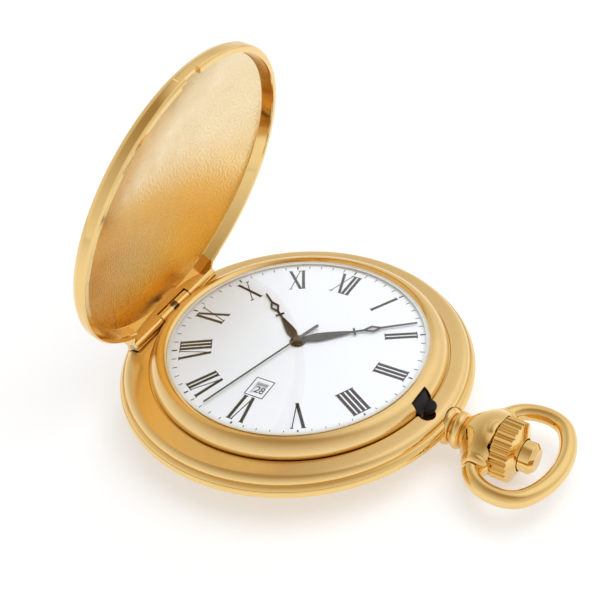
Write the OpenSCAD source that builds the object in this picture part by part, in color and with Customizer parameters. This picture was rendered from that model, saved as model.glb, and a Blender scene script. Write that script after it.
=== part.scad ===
/* [Case] */
// Widest radius of the case, at its rounded rim
case_r = 24.75; // [20:0.05:27]
// Height of the widest ring above the rest face
rim_z = 5.2; // [5:0.05:5.6]
// How far the rounded rim stands out past the shoulder
rim_out = 0.97; // [0.8:0.01:1.2]
// Width of the shoulder round the bezel
shoulder_w = 3.21; // [2.8:0.01:3.6]
// Width of the seat that the bezel is pressed on
seat_w = 1.17; // [1:0.01:1.3]
// Height of the shoulder above the widest ring
shoulder_h = 2.3; // [2.1:0.02:2.5]
// How far the case's outer form stands toward the hinge from the dial's centre
rim_shift = 0.6; // [0:0.05:0.65]
// How far the joint of the back cover lies in from the rim
back_inset = 3.85; // [3.5:0.05:4.2]
// Height of that joint above the rest face
back_joint_z = 2.3; // [2.1:0.05:2.4]
// Width of the domed part of the back round its flat middle
back_dome_w = 8.9; // [7:0.1:10]
// Thickness of the back cover
back_wall = 0.8; // [0.6:0.1:1]

/* [Bezel and crystal] */
// Width of the bezel from its foot to its top edge
bezel_w = 1.92; // [1.7:0.01:2.2]
// Width of the slope inside the bezel's top edge
lip_w = 0.55; // [0.45:0.01:0.7]
// Height of the bezel's top edge above the shoulder
bezel_h = 2.19; // [2.1:0.01:2.4]
// Room for the gasket between lip and crystal
gasket_w = 0.15; // [0.12:0.01:0.2]
// Thickness of the crystal at its edge
crystal_edge = 0.55; // [0.4:0.01:0.65]
// Rise of the crystal's domed top
crystal_rise = 0.8; // [0.4:0.1:1.2]

/* [Lid and hinge] */
// Angle that the lid is open, from closed
lid_open = 72.8; // [60:0.1:76]
// Gap between the bezel's foot and the lid's inner wall
lid_gap = 0.18; // [0.15:0.01:0.25]
// Thickness of the lid's rim wall
lid_wall = 1.02; // [0.9:0.01:1.15]
// Gap between the shoulder and the lid's rim face when closed
lid_lift = 0.15; // [0.1:0.01:0.2]
// Depth of the lid from its rim face to the edge of its inner dome
lid_depth = 1.7; // [1.6:0.01:1.9]
// Rise of the lid's inner dome
lid_rise = 3.8; // [3.4:0.05:4.4]
// Thickness of the lid at its crown
lid_skin = 0.62; // [0.55:0.01:0.8]
// Distance of the hinge axis out from the bezel's foot
hinge_out = 0.84; // [0.8:0.01:0.9]
// Height of the hinge axis above the shoulder
hinge_h = 0.42; // [0.38:0.01:0.46]
// Radius of the hinge knuckles
knuckle_r = 1; // [0.92:0.02:1.1]
// Half of the hinge's length
hinge_half = 9.8; // [8.5:0.1:10.5]
// Half of the length of the case's own knuckle
case_knuckle_half = 3.3; // [2.5:0.1:4]
// Radius of the hinge pin
hinge_pin_r = 0.4; // [0.3:0.05:0.5]

/* [Pendant, crown and bow] */
// Turn of the pendant line from the dial's three o'clock
pendant_turn = -4.45; // [-6:0.05:-3]
// How far the pendant line lies below the widest ring
pendant_drop = 0.8; // [0.75:0.01:0.9]
// Radius of the two beads on the neck
bead_r = 2.55; // [2.3:0.05:2.6]
// Distance of the first bead's middle in from the rim
bead_inset = 1.35; // [1.25:0.05:1.5]
// Spacing of the two beads
bead_pitch = 1.6; // [1.5:0.05:1.75]
// Distance of the bow's pivot axis from the first bead
ear_out = 5.8; // [5.7:0.1:6.4]
// Radius of the ears
ear_r = 1.9; // [1.7:0.05:2.1]
// Distance from the pendant line to the end of each ear
ear_y = 5.2; // [5:0.05:5.6]
// Radius of the crown over its flutes
crown_r = 3.75; // [3.4:0.05:4]
// Distance of the crown's back face out from the bow's pivot axis
crown_out = 1.3; // [1.2:0.05:1.5]
// Length of the crown
crown_len = 2.8; // [2.4:0.1:3.2]
// Number of flutes round the crown
flutes = 26; // [18:1:32]
// How far the crown pulls out to set the hands
crown_pull = 1.6; // [1:0.1:1.8]
// Radius of the push button
button_r = 1.95; // [1.7:0.05:2.2]
// How far the push button stands out of the crown
button_out = 1.8; // [1.2:0.1:2.1]
// Stroke of the push button
button_stroke = 0.6; // [0.5:0.05:0.7]
// Radius of the bow's round wire
bow_wire_r = 1.18; // [1:0.02:1.3]
// Radius of the bow's sides at the middle of the wire
bow_side_r = 4.2; // [3.9:0.05:4.6]
// Distance of the bow's tip from its pivot axis, at the middle of the wire
bow_reach = 9.3; // [8.9:0.1:10.4]

/* [Dial and hands] */
// Height of the dial's upper face above the shoulder
dial_h = 1.15; // [1.1:0.01:1.2]
// Thickness of the dial
dial_t = 0.4; // [0.36:0.01:0.45]
// Distance of the minute track's middle in from the dial's edge
track_in = 1.05; // [0.95:0.05:1.3]
// Height of the hour numerals
numeral_h = 4.5; // [3.8:0.05:4.8]
// Thickness of printed ink
ink_t = 0.04; // [0.03:0.01:0.06]
// Angle of the hour hand, clockwise from twelve
hour_angle = 307.5; // [0:0.5:360]
// Angle of the minute hand, clockwise from twelve
minute_angle = 52.5; // [0:0.5:360]
// Angle of the second hand, clockwise from twelve
second_angle = 197.5; // [0:0.5:360]
// Date shown in the window
show_date = 28; // [1:1:31]

/* [Movement] */
// Radius of the movement's main plate
plate_r = 12.9; // [12.85:0.01:14]
// Thickness of the main plate
plate_t = 1.67; // [1.6:0.01:1.8]
// Radius of the battery
battery_r = 4.75; // [4.2:0.05:4.8]
// Thickness of the battery
battery_t = 2.1; // [1.6:0.1:2.1]
// Module of the going train's teeth
train_m = 0.08; // [0.075:0.001:0.082]
// Radius of the winding stem
stem_r = 0.6; // [0.5:0.05:0.65]

/* [Hidden] */
$fn = 96;
fine = 0.01;

// Clearances
press_gap = 0.02;
run_gap = 0.04;
swing_gap = 0.12;

// Finishes
gold = [0.85, 0.66, 0.28];
steel = [0.72, 0.73, 0.75];
black_steel = [0.1, 0.1, 0.11];
brass = [0.78, 0.62, 0.32];
plastic = [0.93, 0.93, 0.9];
rubber = [0.12, 0.12, 0.12];
white_lacquer = [0.96, 0.96, 0.97];
ink = [0.05, 0.05, 0.06];

// Case
ledge_z = rim_z + shoulder_h;
ledge_r = case_r - rim_out;
bezel_r = ledge_r - shoulder_w;
cavity_r = bezel_r - seat_w;
back_joint_r = case_r - back_inset;
rest_r = back_joint_r - back_dome_w;
bezel_z = ledge_z + bezel_h;
bezel_top_r = bezel_r - bezel_w;
bezel_lip_r = bezel_top_r - lip_w;
crystal_r = bezel_lip_r - gasket_w;
crystal_z = bezel_z - 0.44;
dial_z = ledge_z + dial_h;
dial_r = bezel_lip_r + 0.05;
track_r = dial_r - track_in;
numeral_r = track_r - 0.7 - numeral_h;
window_r = plate_r - 2.9;
groove_z = rim_z + 1.3;
groove_r = case_r - 0.55;
upstand_r = bezel_r - 0.47;
upstand_z = ledge_z + 0.75;
neck_top = back_joint_z + 0.8;
ring_z = back_joint_z + 1.2;
dial_under = dial_z - dial_t;
shelf_z = dial_z + 0.06;
shelf_r = crystal_r - 0.1;

// Lid
lid_wall_r = bezel_r + lid_gap;
lid_r = lid_wall_r + lid_wall;
lid_rim_z = ledge_z + lid_lift;
lid_floor_z = lid_rim_z + lid_depth;
hinge_x = bezel_r + hinge_out;
hinge_z = ledge_z + hinge_h;
lid_corner_r = lid_wall_r - 0.35;
lid_edge_z = lid_floor_z + 0.5;
lid_chord_x = hinge_x - knuckle_r - 0.11;
lid_pocket_half = hinge_half - 0.5;
bezel_flat_x = lid_chord_x - 0.15;
inner_ball_r = (pow(lid_corner_r, 2) + pow(lid_rise, 2)) / (2 * lid_rise);
outer_rise = lid_rise + lid_skin - 0.5;
outer_ball_r = (pow(lid_corner_r, 2) + pow(outer_rise, 2)) / (2 * outer_rise);
spring_z = hinge_z - 1.25;
spring_t = 0.3;
spring_in_r = cavity_r - 2.3;
spring_end_x = cavity_r - 4;
spring_screw_at = (cavity_r - 0.77) * [cos(29.6), sin(29.6)];

// Pendant line
pendant_z = rim_z - pendant_drop;
bead_x = case_r - bead_inset;
ear_x = bead_x + ear_out;
crown_x = ear_x + crown_out;
bead_ring = 0.72;
neck_r = bead_r - 0.7;
head_x = bead_x + bead_pitch + 0.7;
head_back_r = bead_r - 0.4;
head_front_x = crown_x - 0.35;
cup_r = crown_r - 0.45;
hub_r = 1.66;
hub_x = head_x + 1.3;
sleeve_r = 1.1;
sleeve_bore = stem_r + 0.12;
sleeve_end = cavity_r + 0.7;
pin_x = crown_x + 0.7;
cross_pin_r = 0.28;
crown_front = crown_x + crown_len;
button_seat = crown_front - 1.4;
button_tip = crown_front + button_out;
stem_end = 6.4;
stem_pivot_r = 0.31;
groove_x = stem_end + 4.3;
tube_r = hub_r + run_gap + 0.35;
seal_x = head_x + 2.82;
bow_peg_r = 0.62;
bow_peg_end = ear_y - 1.6;
bow_tip = ear_x + bow_reach;
bow_end_turn = 155;
bow_end_y = ear_y + 0.355;
bow_side_x = ear_x + 0.905 * bow_side_r;
bow_side_y = bow_end_y - bow_side_r * sin(bow_end_turn);
bow_tip_dx = bow_tip - bow_side_x;
bow_tip_r = (pow(bow_tip_dx, 2) + pow(bow_side_y, 2) - pow(bow_side_r, 2)) / (2 * (bow_tip_dx - bow_side_r));
bow_tip_c = bow_tip - bow_tip_r;
bow_join = atan2(bow_side_y, bow_side_x - bow_tip_c);

// Catch, in the frame turned to the pendant line
catch_x = cavity_r + 0.15;
catch_t = 0.5;
catch_y = -2.95;
catch_w = 3.15;
catch_top = ledge_z + 1.45;
nose_tip = lid_wall_r + 0.55;
nose_z = ledge_z + 0.9;
nose_t = 0.4;

// Movement levels, up from the rest face
plate_top = dial_under - 0.38;
plate_z = plate_top - plate_t;
recess_z = plate_z + 0.6;
centre_wheel_z = plate_z + 0.7;
minute_wheel_z = plate_z + 0.9;
hour_wheel_z = plate_z + 1.12;
date_z = plate_top + press_gap;
date_t = 0.2;
guard_z = dial_under - 0.15;
guard_t = 0.12;
third_wheel_z = plate_z - 1.1;
mid_wheel_z = plate_z - 1.45;
seconds_wheel_z = plate_z - 1.7;
bridge_z = plate_z - 2.75;
bridge_t = 0.45;
pivot_z = bridge_z + 0.05;
board_t = 0.3;
board_z = bridge_z - board_t - 0.05;
wheel_t = 0.14;
arbor_r = 0.12;
second_arbor_r = 0.15;
centre_tube_r = 0.36;
cannon_bore = centre_tube_r + run_gap;
cannon_r = 0.58;
hour_bore = cannon_r + run_gap;
hour_r = 0.84;
date_hole_r = hour_r + 0.14;

// Teeth and wheel places, in the frame turned to the pendant line
mid_teeth = 32;
mid_pinion = 8;
rotor_pinion = 8;
seconds_teeth = 60;
seconds_pinion = 8;
third_teeth = 60;
third_pinion = 8;
centre_teeth = 64;
cannon_teeth = 14;
minute_teeth = 42;
minute_pinion = 12;
hour_teeth = 48;
date_teeth = 96;
motion_m = 0.1;
third_d = train_m * (seconds_pinion + third_teeth) / 2;
centre_m = 2 * third_d / (centre_teeth + third_pinion);
mid_d = train_m * (seconds_teeth + mid_pinion) / 2;
rotor_d = train_m * (mid_teeth + rotor_pinion) / 2;
minute_d = motion_m * (cannon_teeth + minute_teeth) / 2;
hour_m = 2 * minute_d / (minute_pinion + hour_teeth);
date_d = hour_m * (hour_teeth + date_teeth) / 2;
third_a = 70;
mid_a = 235;
rotor_a = 250;
date_a = 150;
third_at = third_d * [cos(third_a), sin(third_a)];
mid_at = mid_d * [cos(mid_a), sin(mid_a)];
rotor_at = mid_at + rotor_d * [cos(rotor_a), sin(rotor_a)];
minute_at = [minute_d, 0];
date_at = date_d * [cos(date_a), sin(date_a)];
battery_at = 8 * [cos(150), sin(150)];
battery_z = plate_z - 0.15 - battery_t;
setting_at = [stem_end - 0.4, 0];
setting_teeth = 26;
lever_at = [groove_x + 1.15, 3];
pillar_a = [45, 100, 205, 320];
pillar_at = plate_r - 2.1;
bridge_r = plate_r - 1;
clamp_at = plate_r + 1.7;
board_screw_at = [[-5.2, -4.6], [5, -4.6]];
clamp_a = [65, 245];

// Date ring
ring_out = plate_r - 0.8;
ring_in = plate_r - 4.3;
guard_r = ring_in + 0.15;
guard_foot_at = ring_in - 0.9;
jumper_at = ring_in - 1.3;
ring_teeth = 31;

// Hands
hand_t = 0.12;
hour_len = numeral_r + 0.05;
minute_len = track_r - 0.4;
second_len = track_r - 0.6;
hour_hand_z = dial_z + 0.12;
minute_hand_z = dial_z + 0.32;
second_hand_z = dial_z + 0.52;

// Turns its children to the pendant line
module turned() {
  rotate([0, 0, pendant_turn]) children();
}

// Lays its children's Z axis along the pendant line, at a distance from the dial's centre
module on_pendant(x) {
  turned() translate([x, 0, pendant_z]) rotate([0, 90, 0]) children();
}

// Sets its children at a place in the movement
module placed(at, z) {
  turned() translate([at[0], at[1], z]) children();
}

// A tube, standing on its lower face
module tube(r_out, r_in, h) {
  difference() {
    cylinder(r = r_out, h = h);
    translate([0, 0, -1]) cylinder(r = r_in, h = h + 2);
  }
}

// Outline of a spur wheel with straight-sided teeth and backlash
function tooth_points(m, teeth) = let (
    rp = m * teeth / 2,
    ra = rp + 0.85 * m,
    rd = rp - 1.15 * m,
    step = 360 / teeth)
  [for (i = [0:teeth - 1])
    for (p = [[rd, -0.3], [ra, -0.12], [ra, 0.12], [rd, 0.3]])
      p[0] * [cos((i + p[1]) * step), sin((i + p[1]) * step)]];

// A spur wheel, standing on its lower face
module spur(m, teeth, h, turn = 0) {
  rotate([0, 0, turn]) linear_extrude(height = h) polygon(tooth_points(m, teeth));
}

// A wheel with round windows between its spokes
module train_wheel(m, teeth, h, windows, turn = 0) {
  rim = m * teeth / 2 - 3.2 * m;
  difference() {
    spur(m, teeth, h, turn);
    for (i = [0:windows - 1])
      rotate([0, 0, turn + i * 360 / windows]) translate([0.6 * rim, 0, -1]) cylinder(r = 0.26 * rim, h = h + 2);
  }
}

// An arbor between two heights
module arbor(z0, z1, r = arbor_r) {
  translate([0, 0, z0]) cylinder(r = r, h = z1 - z0, $fn = 32);
}

// A slotted cheese-head screw: head down, shank up
module plate_screw(head_r, head_h, shank_r, shank_h) {
  difference() {
    union() {
      cylinder(r = head_r, h = head_h);
      translate([0, 0, head_h - fine]) cylinder(r = shank_r, h = shank_h + fine);
    }
    translate([-head_r - 1, -0.11, -1]) cube([2 * head_r + 2, 0.22, 1 + head_h / 2]);
  }
}

// Outline of the case middle, from the ledge round the rim to the back joint
function middle_points() = concat(
  [[cavity_r - 0.8, back_joint_z], [cavity_r - 0.8, ledge_z], [bezel_r + 0.34, ledge_z], [ledge_r - 0.7, ledge_z - 0.24]],
  [for (a = [80:-20:20]) [ledge_r - 0.65 + 0.65 * cos(a), ledge_z - 0.85 + 0.6 * sin(a)]],
  [[groove_r - 0.02, groove_z + 0.12], [groove_r - 0.12, groove_z], [groove_r, groove_z - 0.1]],
  [for (a = [60:-20:0]) [case_r - 1.1 + 1.1 * cos(a), rim_z + 1.1 * sin(a)]],
  [[case_r - 0.08, rim_z - 0.14], [case_r - 0.38, rim_z - 0.38], [case_r - 1.05, rim_z - 0.84]],
  [[case_r - 2.3, rim_z - 1.82], [back_joint_r + 0.3, back_joint_z + 0.2], [back_joint_r, back_joint_z]]);

// Room for the lid's knuckles along the hinge
module hinge_channel() {
  translate([-hinge_x, 0, hinge_z]) rotate([90, 0, 0])
    cylinder(r = knuckle_r + swing_gap, h = 2 * hinge_half + 0.4, center = true);
  translate([-hinge_x - knuckle_r - swing_gap, -hinge_half - 0.2, hinge_z])
    cube([2 * (knuckle_r + swing_gap), 2 * hinge_half + 0.4, 4]);
}

// Room for the catch inside the case
module catch_pocket() {
  turned() translate([catch_x - button_stroke - 0.3, catch_y - 0.15, back_joint_z - 1])
    cube([button_stroke + 1.35, catch_w + 0.3, 12]);
}

module case_middle() {
  color(gold) difference() {
    union() {
      difference() {
        union() {
          translate([-rim_shift, 0, 0]) rotate_extrude() polygon(middle_points());
          translate([0, 0, back_joint_z]) cylinder(r = back_joint_r, h = 0.8);
          translate([0, 0, back_joint_z]) cylinder(r = upstand_r, h = upstand_z - back_joint_z);
        }
        translate([0, 0, back_joint_z - 1]) cylinder(r = cavity_r, h = 10);
        translate([0, 0, ledge_z - 0.12]) tube(bezel_r + 0.2, upstand_r, 3);
        hinge_channel();
      }
      intersection() {
        union() {
          translate([-hinge_x, 0, hinge_z]) rotate([90, 0, 0])
            cylinder(r = knuckle_r, h = 2 * case_knuckle_half, center = true);
          translate([-hinge_x - knuckle_r, -case_knuckle_half, hinge_z - 1.6])
            cube([2 * knuckle_r, 2 * case_knuckle_half, 1.6]);
        }
        translate([-bezel_flat_x - 4.1, -10, 0]) cube([4, 20, 20]);
      }
    }
    translate([-hinge_x, 0, hinge_z]) rotate([90, 0, 0])
      cylinder(r = hinge_pin_r + press_gap, h = 3 * hinge_half, center = true);
    translate([-hinge_x - 0.35, -0.65, spring_z - 0.1]) cube([3.4, 1.3, 3]);
    catch_pocket();
    on_pendant(cavity_r - 1) cylinder(r = neck_r + press_gap, h = 10);
    on_pendant(bead_x - 0.8) cylinder(r = bead_r + 0.08, h = 10);
    turned() rotate([0, 0, -6]) translate([bezel_r + 0.95, 0, ledge_z - 1.2]) cylinder(r = 1.1, h = 3);
  }
}

module case_back() {
  dome = [for (i = [0:4]) let (u = i / 4)
    [rest_r + (back_joint_r - rest_r) * u, (back_joint_z - press_gap) * pow(u, 2)]];
  inner = [for (i = [4:-1:0]) let (u = i / 4)
    [rest_r + (cavity_r - 0.7 - rest_r) * u, back_wall + (back_joint_z - 0.6 - back_wall) * pow(u, 2)]];
  color(gold) difference() {
    rotate_extrude() polygon(concat([[0, 0]], dome, [[cavity_r - press_gap, back_joint_z - press_gap],
      [cavity_r - press_gap, neck_top], [cavity_r - 0.7, neck_top]], inner, [[0, back_wall]]));
    rotate([0, 0, 150]) translate([back_joint_r - 0.25, -1.6, back_joint_z - 0.3]) cube([1, 3.2, 1]);
  }
}

module back_gasket() {
  color(rubber) translate([0, 0, neck_top + fine])
    tube(cavity_r - press_gap, cavity_r - 0.6, ring_z - neck_top - 2 * fine);
}

module bezel() {
  color(gold) difference() {
    rotate_extrude() polygon(concat(
      [[upstand_r + press_gap, ledge_z + 0.02], [bezel_r, ledge_z + 0.02]],
      [[bezel_r, bezel_z - 1.15], [bezel_r - 0.1, bezel_z - 0.88], [bezel_r - 0.36, bezel_z - 0.72]],
      [[bezel_top_r + 0.06, bezel_z], [bezel_top_r, bezel_z], [bezel_lip_r, bezel_z - 0.3]],
      [[bezel_lip_r, crystal_z - 0.2], [shelf_r, crystal_z - 0.2], [shelf_r, shelf_z]],
      [[dial_r + 0.3, shelf_z], [dial_r + 0.3, upstand_z + 0.16], [upstand_r + press_gap, upstand_z + 0.16]]));
    translate([-bezel_flat_x - 3, -hinge_half, 0]) cube([3, 2 * hinge_half, bezel_z - 0.69]);
    turned() {
      translate([catch_x - button_stroke - 0.15, catch_y - 0.12, 0])
        cube([3, catch_w + 0.24, catch_top + 0.05]);
      translate([catch_x + 0.05, catch_y - 0.12, 0]) cube([3, catch_w + 0.24, 12]);
    }
  }
}

module crystal() {
  ball = (pow(crystal_r, 2) + pow(crystal_rise, 2)) / (2 * crystal_rise);
  color([0.9, 0.95, 1, 0.3]) difference() {
    intersection() {
      translate([0, 0, crystal_z]) cylinder(r = crystal_r, h = crystal_edge + crystal_rise);
      translate([0, 0, crystal_z + crystal_edge + crystal_rise - ball]) sphere(r = ball, $fn = 360);
    }
    translate([0, 0, crystal_z + crystal_rise - 0.03 - ball]) sphere(r = ball, $fn = 360);
  }
}

module crystal_gasket() {
  color(plastic) translate([0, 0, crystal_z - 0.2 + fine]) difference() {
    cylinder(r = bezel_lip_r - press_gap, h = 0.31);
    translate([0, 0, 0.18]) cylinder(r = crystal_r + press_gap, h = 1);
    translate([0, 0, -1]) cylinder(r = shelf_r + press_gap, h = 3);
  }
}

module movement_ring() {
  color(plastic) difference() {
    union() {
      translate([0, 0, ring_z]) tube(cavity_r - 0.12, plate_r + 0.7, dial_under - ring_z - press_gap);
      translate([0, 0, ring_z]) tube(plate_r + 0.8, plate_r + 0.08, recess_z - ring_z);
    }
    turned() {
      translate([catch_x - button_stroke - 0.35, catch_y - 0.3, ring_z - 1]) cube([4, catch_w + 0.6, 8]);
      translate([plate_r - 1, -1.3, ring_z - 1]) cube([8, 2.6, pendant_z + 1.3 - ring_z + 1]);
      for (a = clamp_a) rotate([0, 0, a]) translate([clamp_at, 0, ring_z - 1]) cylinder(r = 0.36, h = 2.9);
    }
    translate([-cavity_r - 1, -0.8, spring_z - 0.1]) cube([3.4, 1.6, 0.65]);
    intersection() {
      translate([0, 0, spring_z - 0.1]) tube(2 * cavity_r, spring_in_r - 0.2, 0.65);
      translate([-spring_end_x - 19.6, -11.5, 0]) cube([20, 23, 30]);
    }
    for (s = [-1, 1]) translate([-spring_screw_at[0], s * spring_screw_at[1], spring_z - 1.4]) cylinder(r = 0.32, h = 2);
  }
}

module lift_spring() {
  color(black_steel) translate([0, 0, spring_z]) difference() {
    union() {
      intersection() {
        tube(cavity_r - 0.3, spring_in_r, spring_t);
        translate([-spring_end_x - 20, -11, -1]) cube([20, 22, 3]);
      }
      translate([-hinge_x - 0.2, -0.5, 0]) cube([3, 1, spring_t]);
      translate([-hinge_x - 0.2, -0.5, 0]) cube([0.35, 1, 0.7]);
    }
    for (s = [-1, 1]) translate([-spring_screw_at[0], s * spring_screw_at[1], -1]) cylinder(r = 0.34, h = 3);
  }
}

module spring_screws() {
  color(steel) for (s = [-1, 1])
    translate([-spring_screw_at[0], s * spring_screw_at[1], spring_z + spring_t + fine + 0.2]) mirror([0, 0, 1]) rotate([0, 0, 30 * s])
      plate_screw(0.55, 0.2, 0.3, 1.5);
}

module hinge_pin() {
  color(steel) translate([-hinge_x, 0, hinge_z]) rotate([90, 0, 0])
    cylinder(r = hinge_pin_r, h = 2 * hinge_half, center = true);
}

// Carries what is drawn at the closed lid's place to the opened lid's place
module opened() {
  translate([-hinge_x, 0, hinge_z]) rotate([0, -lid_open, 0]) translate([hinge_x, 0, -hinge_z]) children();
}

// The lid as a full round shell, closed
module lid_shell() {
  rotate_extrude() polygon([[0, lid_rim_z], [lid_r - 0.3, lid_rim_z], [lid_r - 0.08, lid_rim_z + 0.1],
    [lid_r, lid_rim_z + 0.35], [lid_r, lid_edge_z - 0.95], [lid_r - 0.12, lid_edge_z - 0.65],
    [lid_r - 0.45, lid_edge_z - 0.3], [lid_r - 0.85, lid_edge_z - 0.12], [lid_corner_r, lid_edge_z],
    [lid_corner_r, lid_edge_z - 0.3], [0, lid_edge_z - 0.3]]);
  intersection() {
    translate([0, 0, lid_edge_z - 0.4]) cylinder(r = lid_corner_r, h = outer_rise + 0.6);
    translate([0, 0, lid_edge_z + outer_rise - outer_ball_r]) sphere(r = outer_ball_r, $fn = 360);
  }
}

// The straight block along the lid's hinge
module lid_hinge_block() {
  translate([0, hinge_half, 0]) rotate([90, 0, 0]) linear_extrude(height = 2 * hinge_half)
    polygon([[-hinge_x - 0.1, lid_rim_z], [-hinge_x - 0.1, lid_edge_z - 0.5], [-hinge_x + 0.2, lid_edge_z - 0.2],
      [-hinge_x + 0.5, lid_edge_z - 0.1], [-hinge_x + 3.1, lid_edge_z - 0.1], [-hinge_x + 3.1, lid_rim_z]]);
}

module front_lid() {
  color(gold) opened() difference() {
    union() {
      lid_shell();
      lid_hinge_block();
      for (s = [-1, 1])
        translate([-hinge_x, s * (hinge_half + case_knuckle_half + swing_gap) / 2, hinge_z]) rotate([90, 0, 0])
          cylinder(r = knuckle_r, h = hinge_half - case_knuckle_half - swing_gap, center = true);
    }
    intersection() {
      rotate_extrude() polygon([[0, lid_rim_z - 3], [lid_wall_r + 0.1, lid_rim_z - 3],
        [lid_wall_r, lid_rim_z + 0.15], [lid_corner_r, lid_floor_z], [0, lid_floor_z]]);
      translate([-lid_chord_x, -30, 0]) cube([60, 60, 30]);
    }
    translate([-lid_chord_x, -lid_pocket_half, lid_rim_z - 3])
      cube([4, 2 * lid_pocket_half, lid_floor_z - lid_rim_z + 3]);
    intersection() {
      translate([0, 0, lid_floor_z - fine]) cylinder(r = lid_corner_r, h = 30);
      translate([0, 0, lid_floor_z + lid_rise - inner_ball_r]) sphere(r = inner_ball_r, $fn = 360);
      translate([-lid_chord_x, -30, 0]) cube([60, 60, 30]);
    }
    translate([-hinge_x, 0, hinge_z]) rotate([90, 0, 0])
      cylinder(r = knuckle_r + swing_gap, h = 2 * case_knuckle_half + 2 * swing_gap, center = true);
    translate([-hinge_x - 2, -case_knuckle_half - swing_gap, lid_rim_z - 1])
      cube([3.3, 2 * (case_knuckle_half + swing_gap), 1 + hinge_z - lid_rim_z]);
    translate([-hinge_x, -case_knuckle_half - swing_gap, lid_rim_z - 1])
      cube([1.3, 2 * (case_knuckle_half + swing_gap), 1.6 + hinge_z - lid_rim_z]);
    translate([-hinge_x, 0, hinge_z]) rotate([90, 0, 0])
      cylinder(r = hinge_pin_r + run_gap, h = 3 * hinge_half, center = true);
    turned() translate([lid_corner_r - 1, catch_y - 0.3, nose_z - 0.2])
      cube([nose_tip + 1.15 - lid_corner_r, catch_w + 0.6, nose_t + 0.4]);
  }
}

// A rounded bead round the neck
module bead(x) {
  on_pendant(x) rotate_extrude() union() {
    translate([bead_r - bead_ring, 0]) circle(r = bead_ring, $fn = 48);
    translate([0.1, -bead_ring]) square([bead_r - bead_ring - 0.1, 2 * bead_ring]);
  }
}

module pendant() {
  head = [[0, 0], [head_back_r, 0], [head_back_r + 0.25, 0.8], [head_back_r + 0.8, 2], [cup_r + 0.15, 3.1],
    [cup_r + 0.55, 3.8], [cup_r + 0.6, head_front_x - head_x - 0.25], [cup_r + 0.35, head_front_x - head_x],
    [0, head_front_x - head_x]];
  shoulder = [[head_x + 0.05, -head_back_r + 0.2], [ear_x - 1.5, -ear_y + 0.5], [ear_x, -ear_y + 0.5],
    [ear_x, ear_y - 0.5], [ear_x - 1.5, ear_y - 0.5], [head_x + 0.05, head_back_r - 0.2]];
  color(gold) difference() {
    union() {
      on_pendant(cavity_r + 1.3) cylinder(r = neck_r, h = head_x - cavity_r - 1.1);
      bead(bead_x);
      bead(bead_x + bead_pitch);
      on_pendant(head_x) rotate_extrude() polygon(head);
      turned() translate([0, 0, pendant_z - 1.3]) linear_extrude(height = 2.6) polygon(shoulder);
      turned() translate([ear_x, 0, pendant_z]) rotate([90, 0, 0]) rotate_extrude() polygon(
        [[0, -ear_y], [ear_r - 0.5, -ear_y], [ear_r - 0.1, -ear_y + 0.2], [ear_r, -ear_y + 0.6],
         [ear_r, ear_y - 0.6], [ear_r - 0.1, ear_y - 0.2], [ear_r - 0.5, ear_y], [0, ear_y]]);
    }
    on_pendant(cavity_r - 1) cylinder(r = sleeve_r + 0.1, h = 30);
    on_pendant(hub_x - 0.3) cylinder(r = tube_r + press_gap, h = 10);
    on_pendant(head_front_x - 0.9) cylinder(r = cup_r - 0.35, h = 10);
    on_pendant(head_front_x) cylinder(r = crown_r + 0.25, h = 10);
    for (s = [-1, 1]) turned() translate([ear_x, s * (bow_peg_end - 0.1), pendant_z])
      rotate([-90 * s, 0, 0]) cylinder(r = bow_peg_r + run_gap, h = 5);
  }
}

module crown_tube() {
  back = hub_x - 0.28;
  color(steel) difference() {
    on_pendant(back) cylinder(r = tube_r, h = head_front_x - 0.9 - back);
    on_pendant(back - 1) cylinder(r = sleeve_r + 0.1, h = 10);
    on_pendant(back + 0.26) cylinder(r = hub_r + run_gap, h = 10);
    on_pendant(seal_x) cylinder(r = hub_r + run_gap + 0.2, h = 0.4);
  }
}

module crown_gasket() {
  color(rubber) on_pendant(seal_x + 0.02) tube(hub_r + run_gap + 0.18, hub_r + 0.03, 0.36);
}

// One side of the bow, from the joint with the tip's arc to the ear
module bow_side() {
  translate([bow_side_x, bow_side_y, 0]) rotate([0, 0, bow_join])
    rotate_extrude(angle = bow_end_turn - bow_join) translate([bow_side_r, 0]) circle(r = bow_wire_r, $fn = 48);
}

module bow() {
  color(gold) turned() translate([0, 0, pendant_z]) difference() {
    union() {
      for (s = [0, 1]) mirror([0, s, 0]) {
        bow_side();
        translate([ear_x, bow_peg_end, 0]) rotate([-90, 0, 0]) cylinder(r = bow_peg_r, h = bow_end_y - bow_peg_end);
        translate([ear_x, ear_y + 0.08, 0]) rotate([-90, 0, 0])
          cylinder(r = bow_wire_r - 0.02, h = bow_end_y - ear_y + 0.1, $fn = 48);
      }
      translate([bow_tip_c, 0, 0]) rotate([0, 0, -bow_join])
        rotate_extrude(angle = 2 * bow_join) translate([bow_tip_r, 0]) circle(r = bow_wire_r, $fn = 48);
      for (s = [-1, 1]) translate([bow_tip_c, 0, 0]) rotate([0, 0, s * bow_join]) translate([bow_tip_r, 0, 0])
        rotate([90, 0, 0]) cylinder(r = bow_wire_r + fine, h = 0.2, center = true, $fn = 48);
    }
    for (s = [0, 1]) mirror([0, s, 0]) translate([ear_x, bow_peg_end - 1, 0]) rotate([-90, 0, 0])
      tube(3.5, bow_peg_r, ear_y + 0.08 - bow_peg_end + 1);
  }
}

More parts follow.
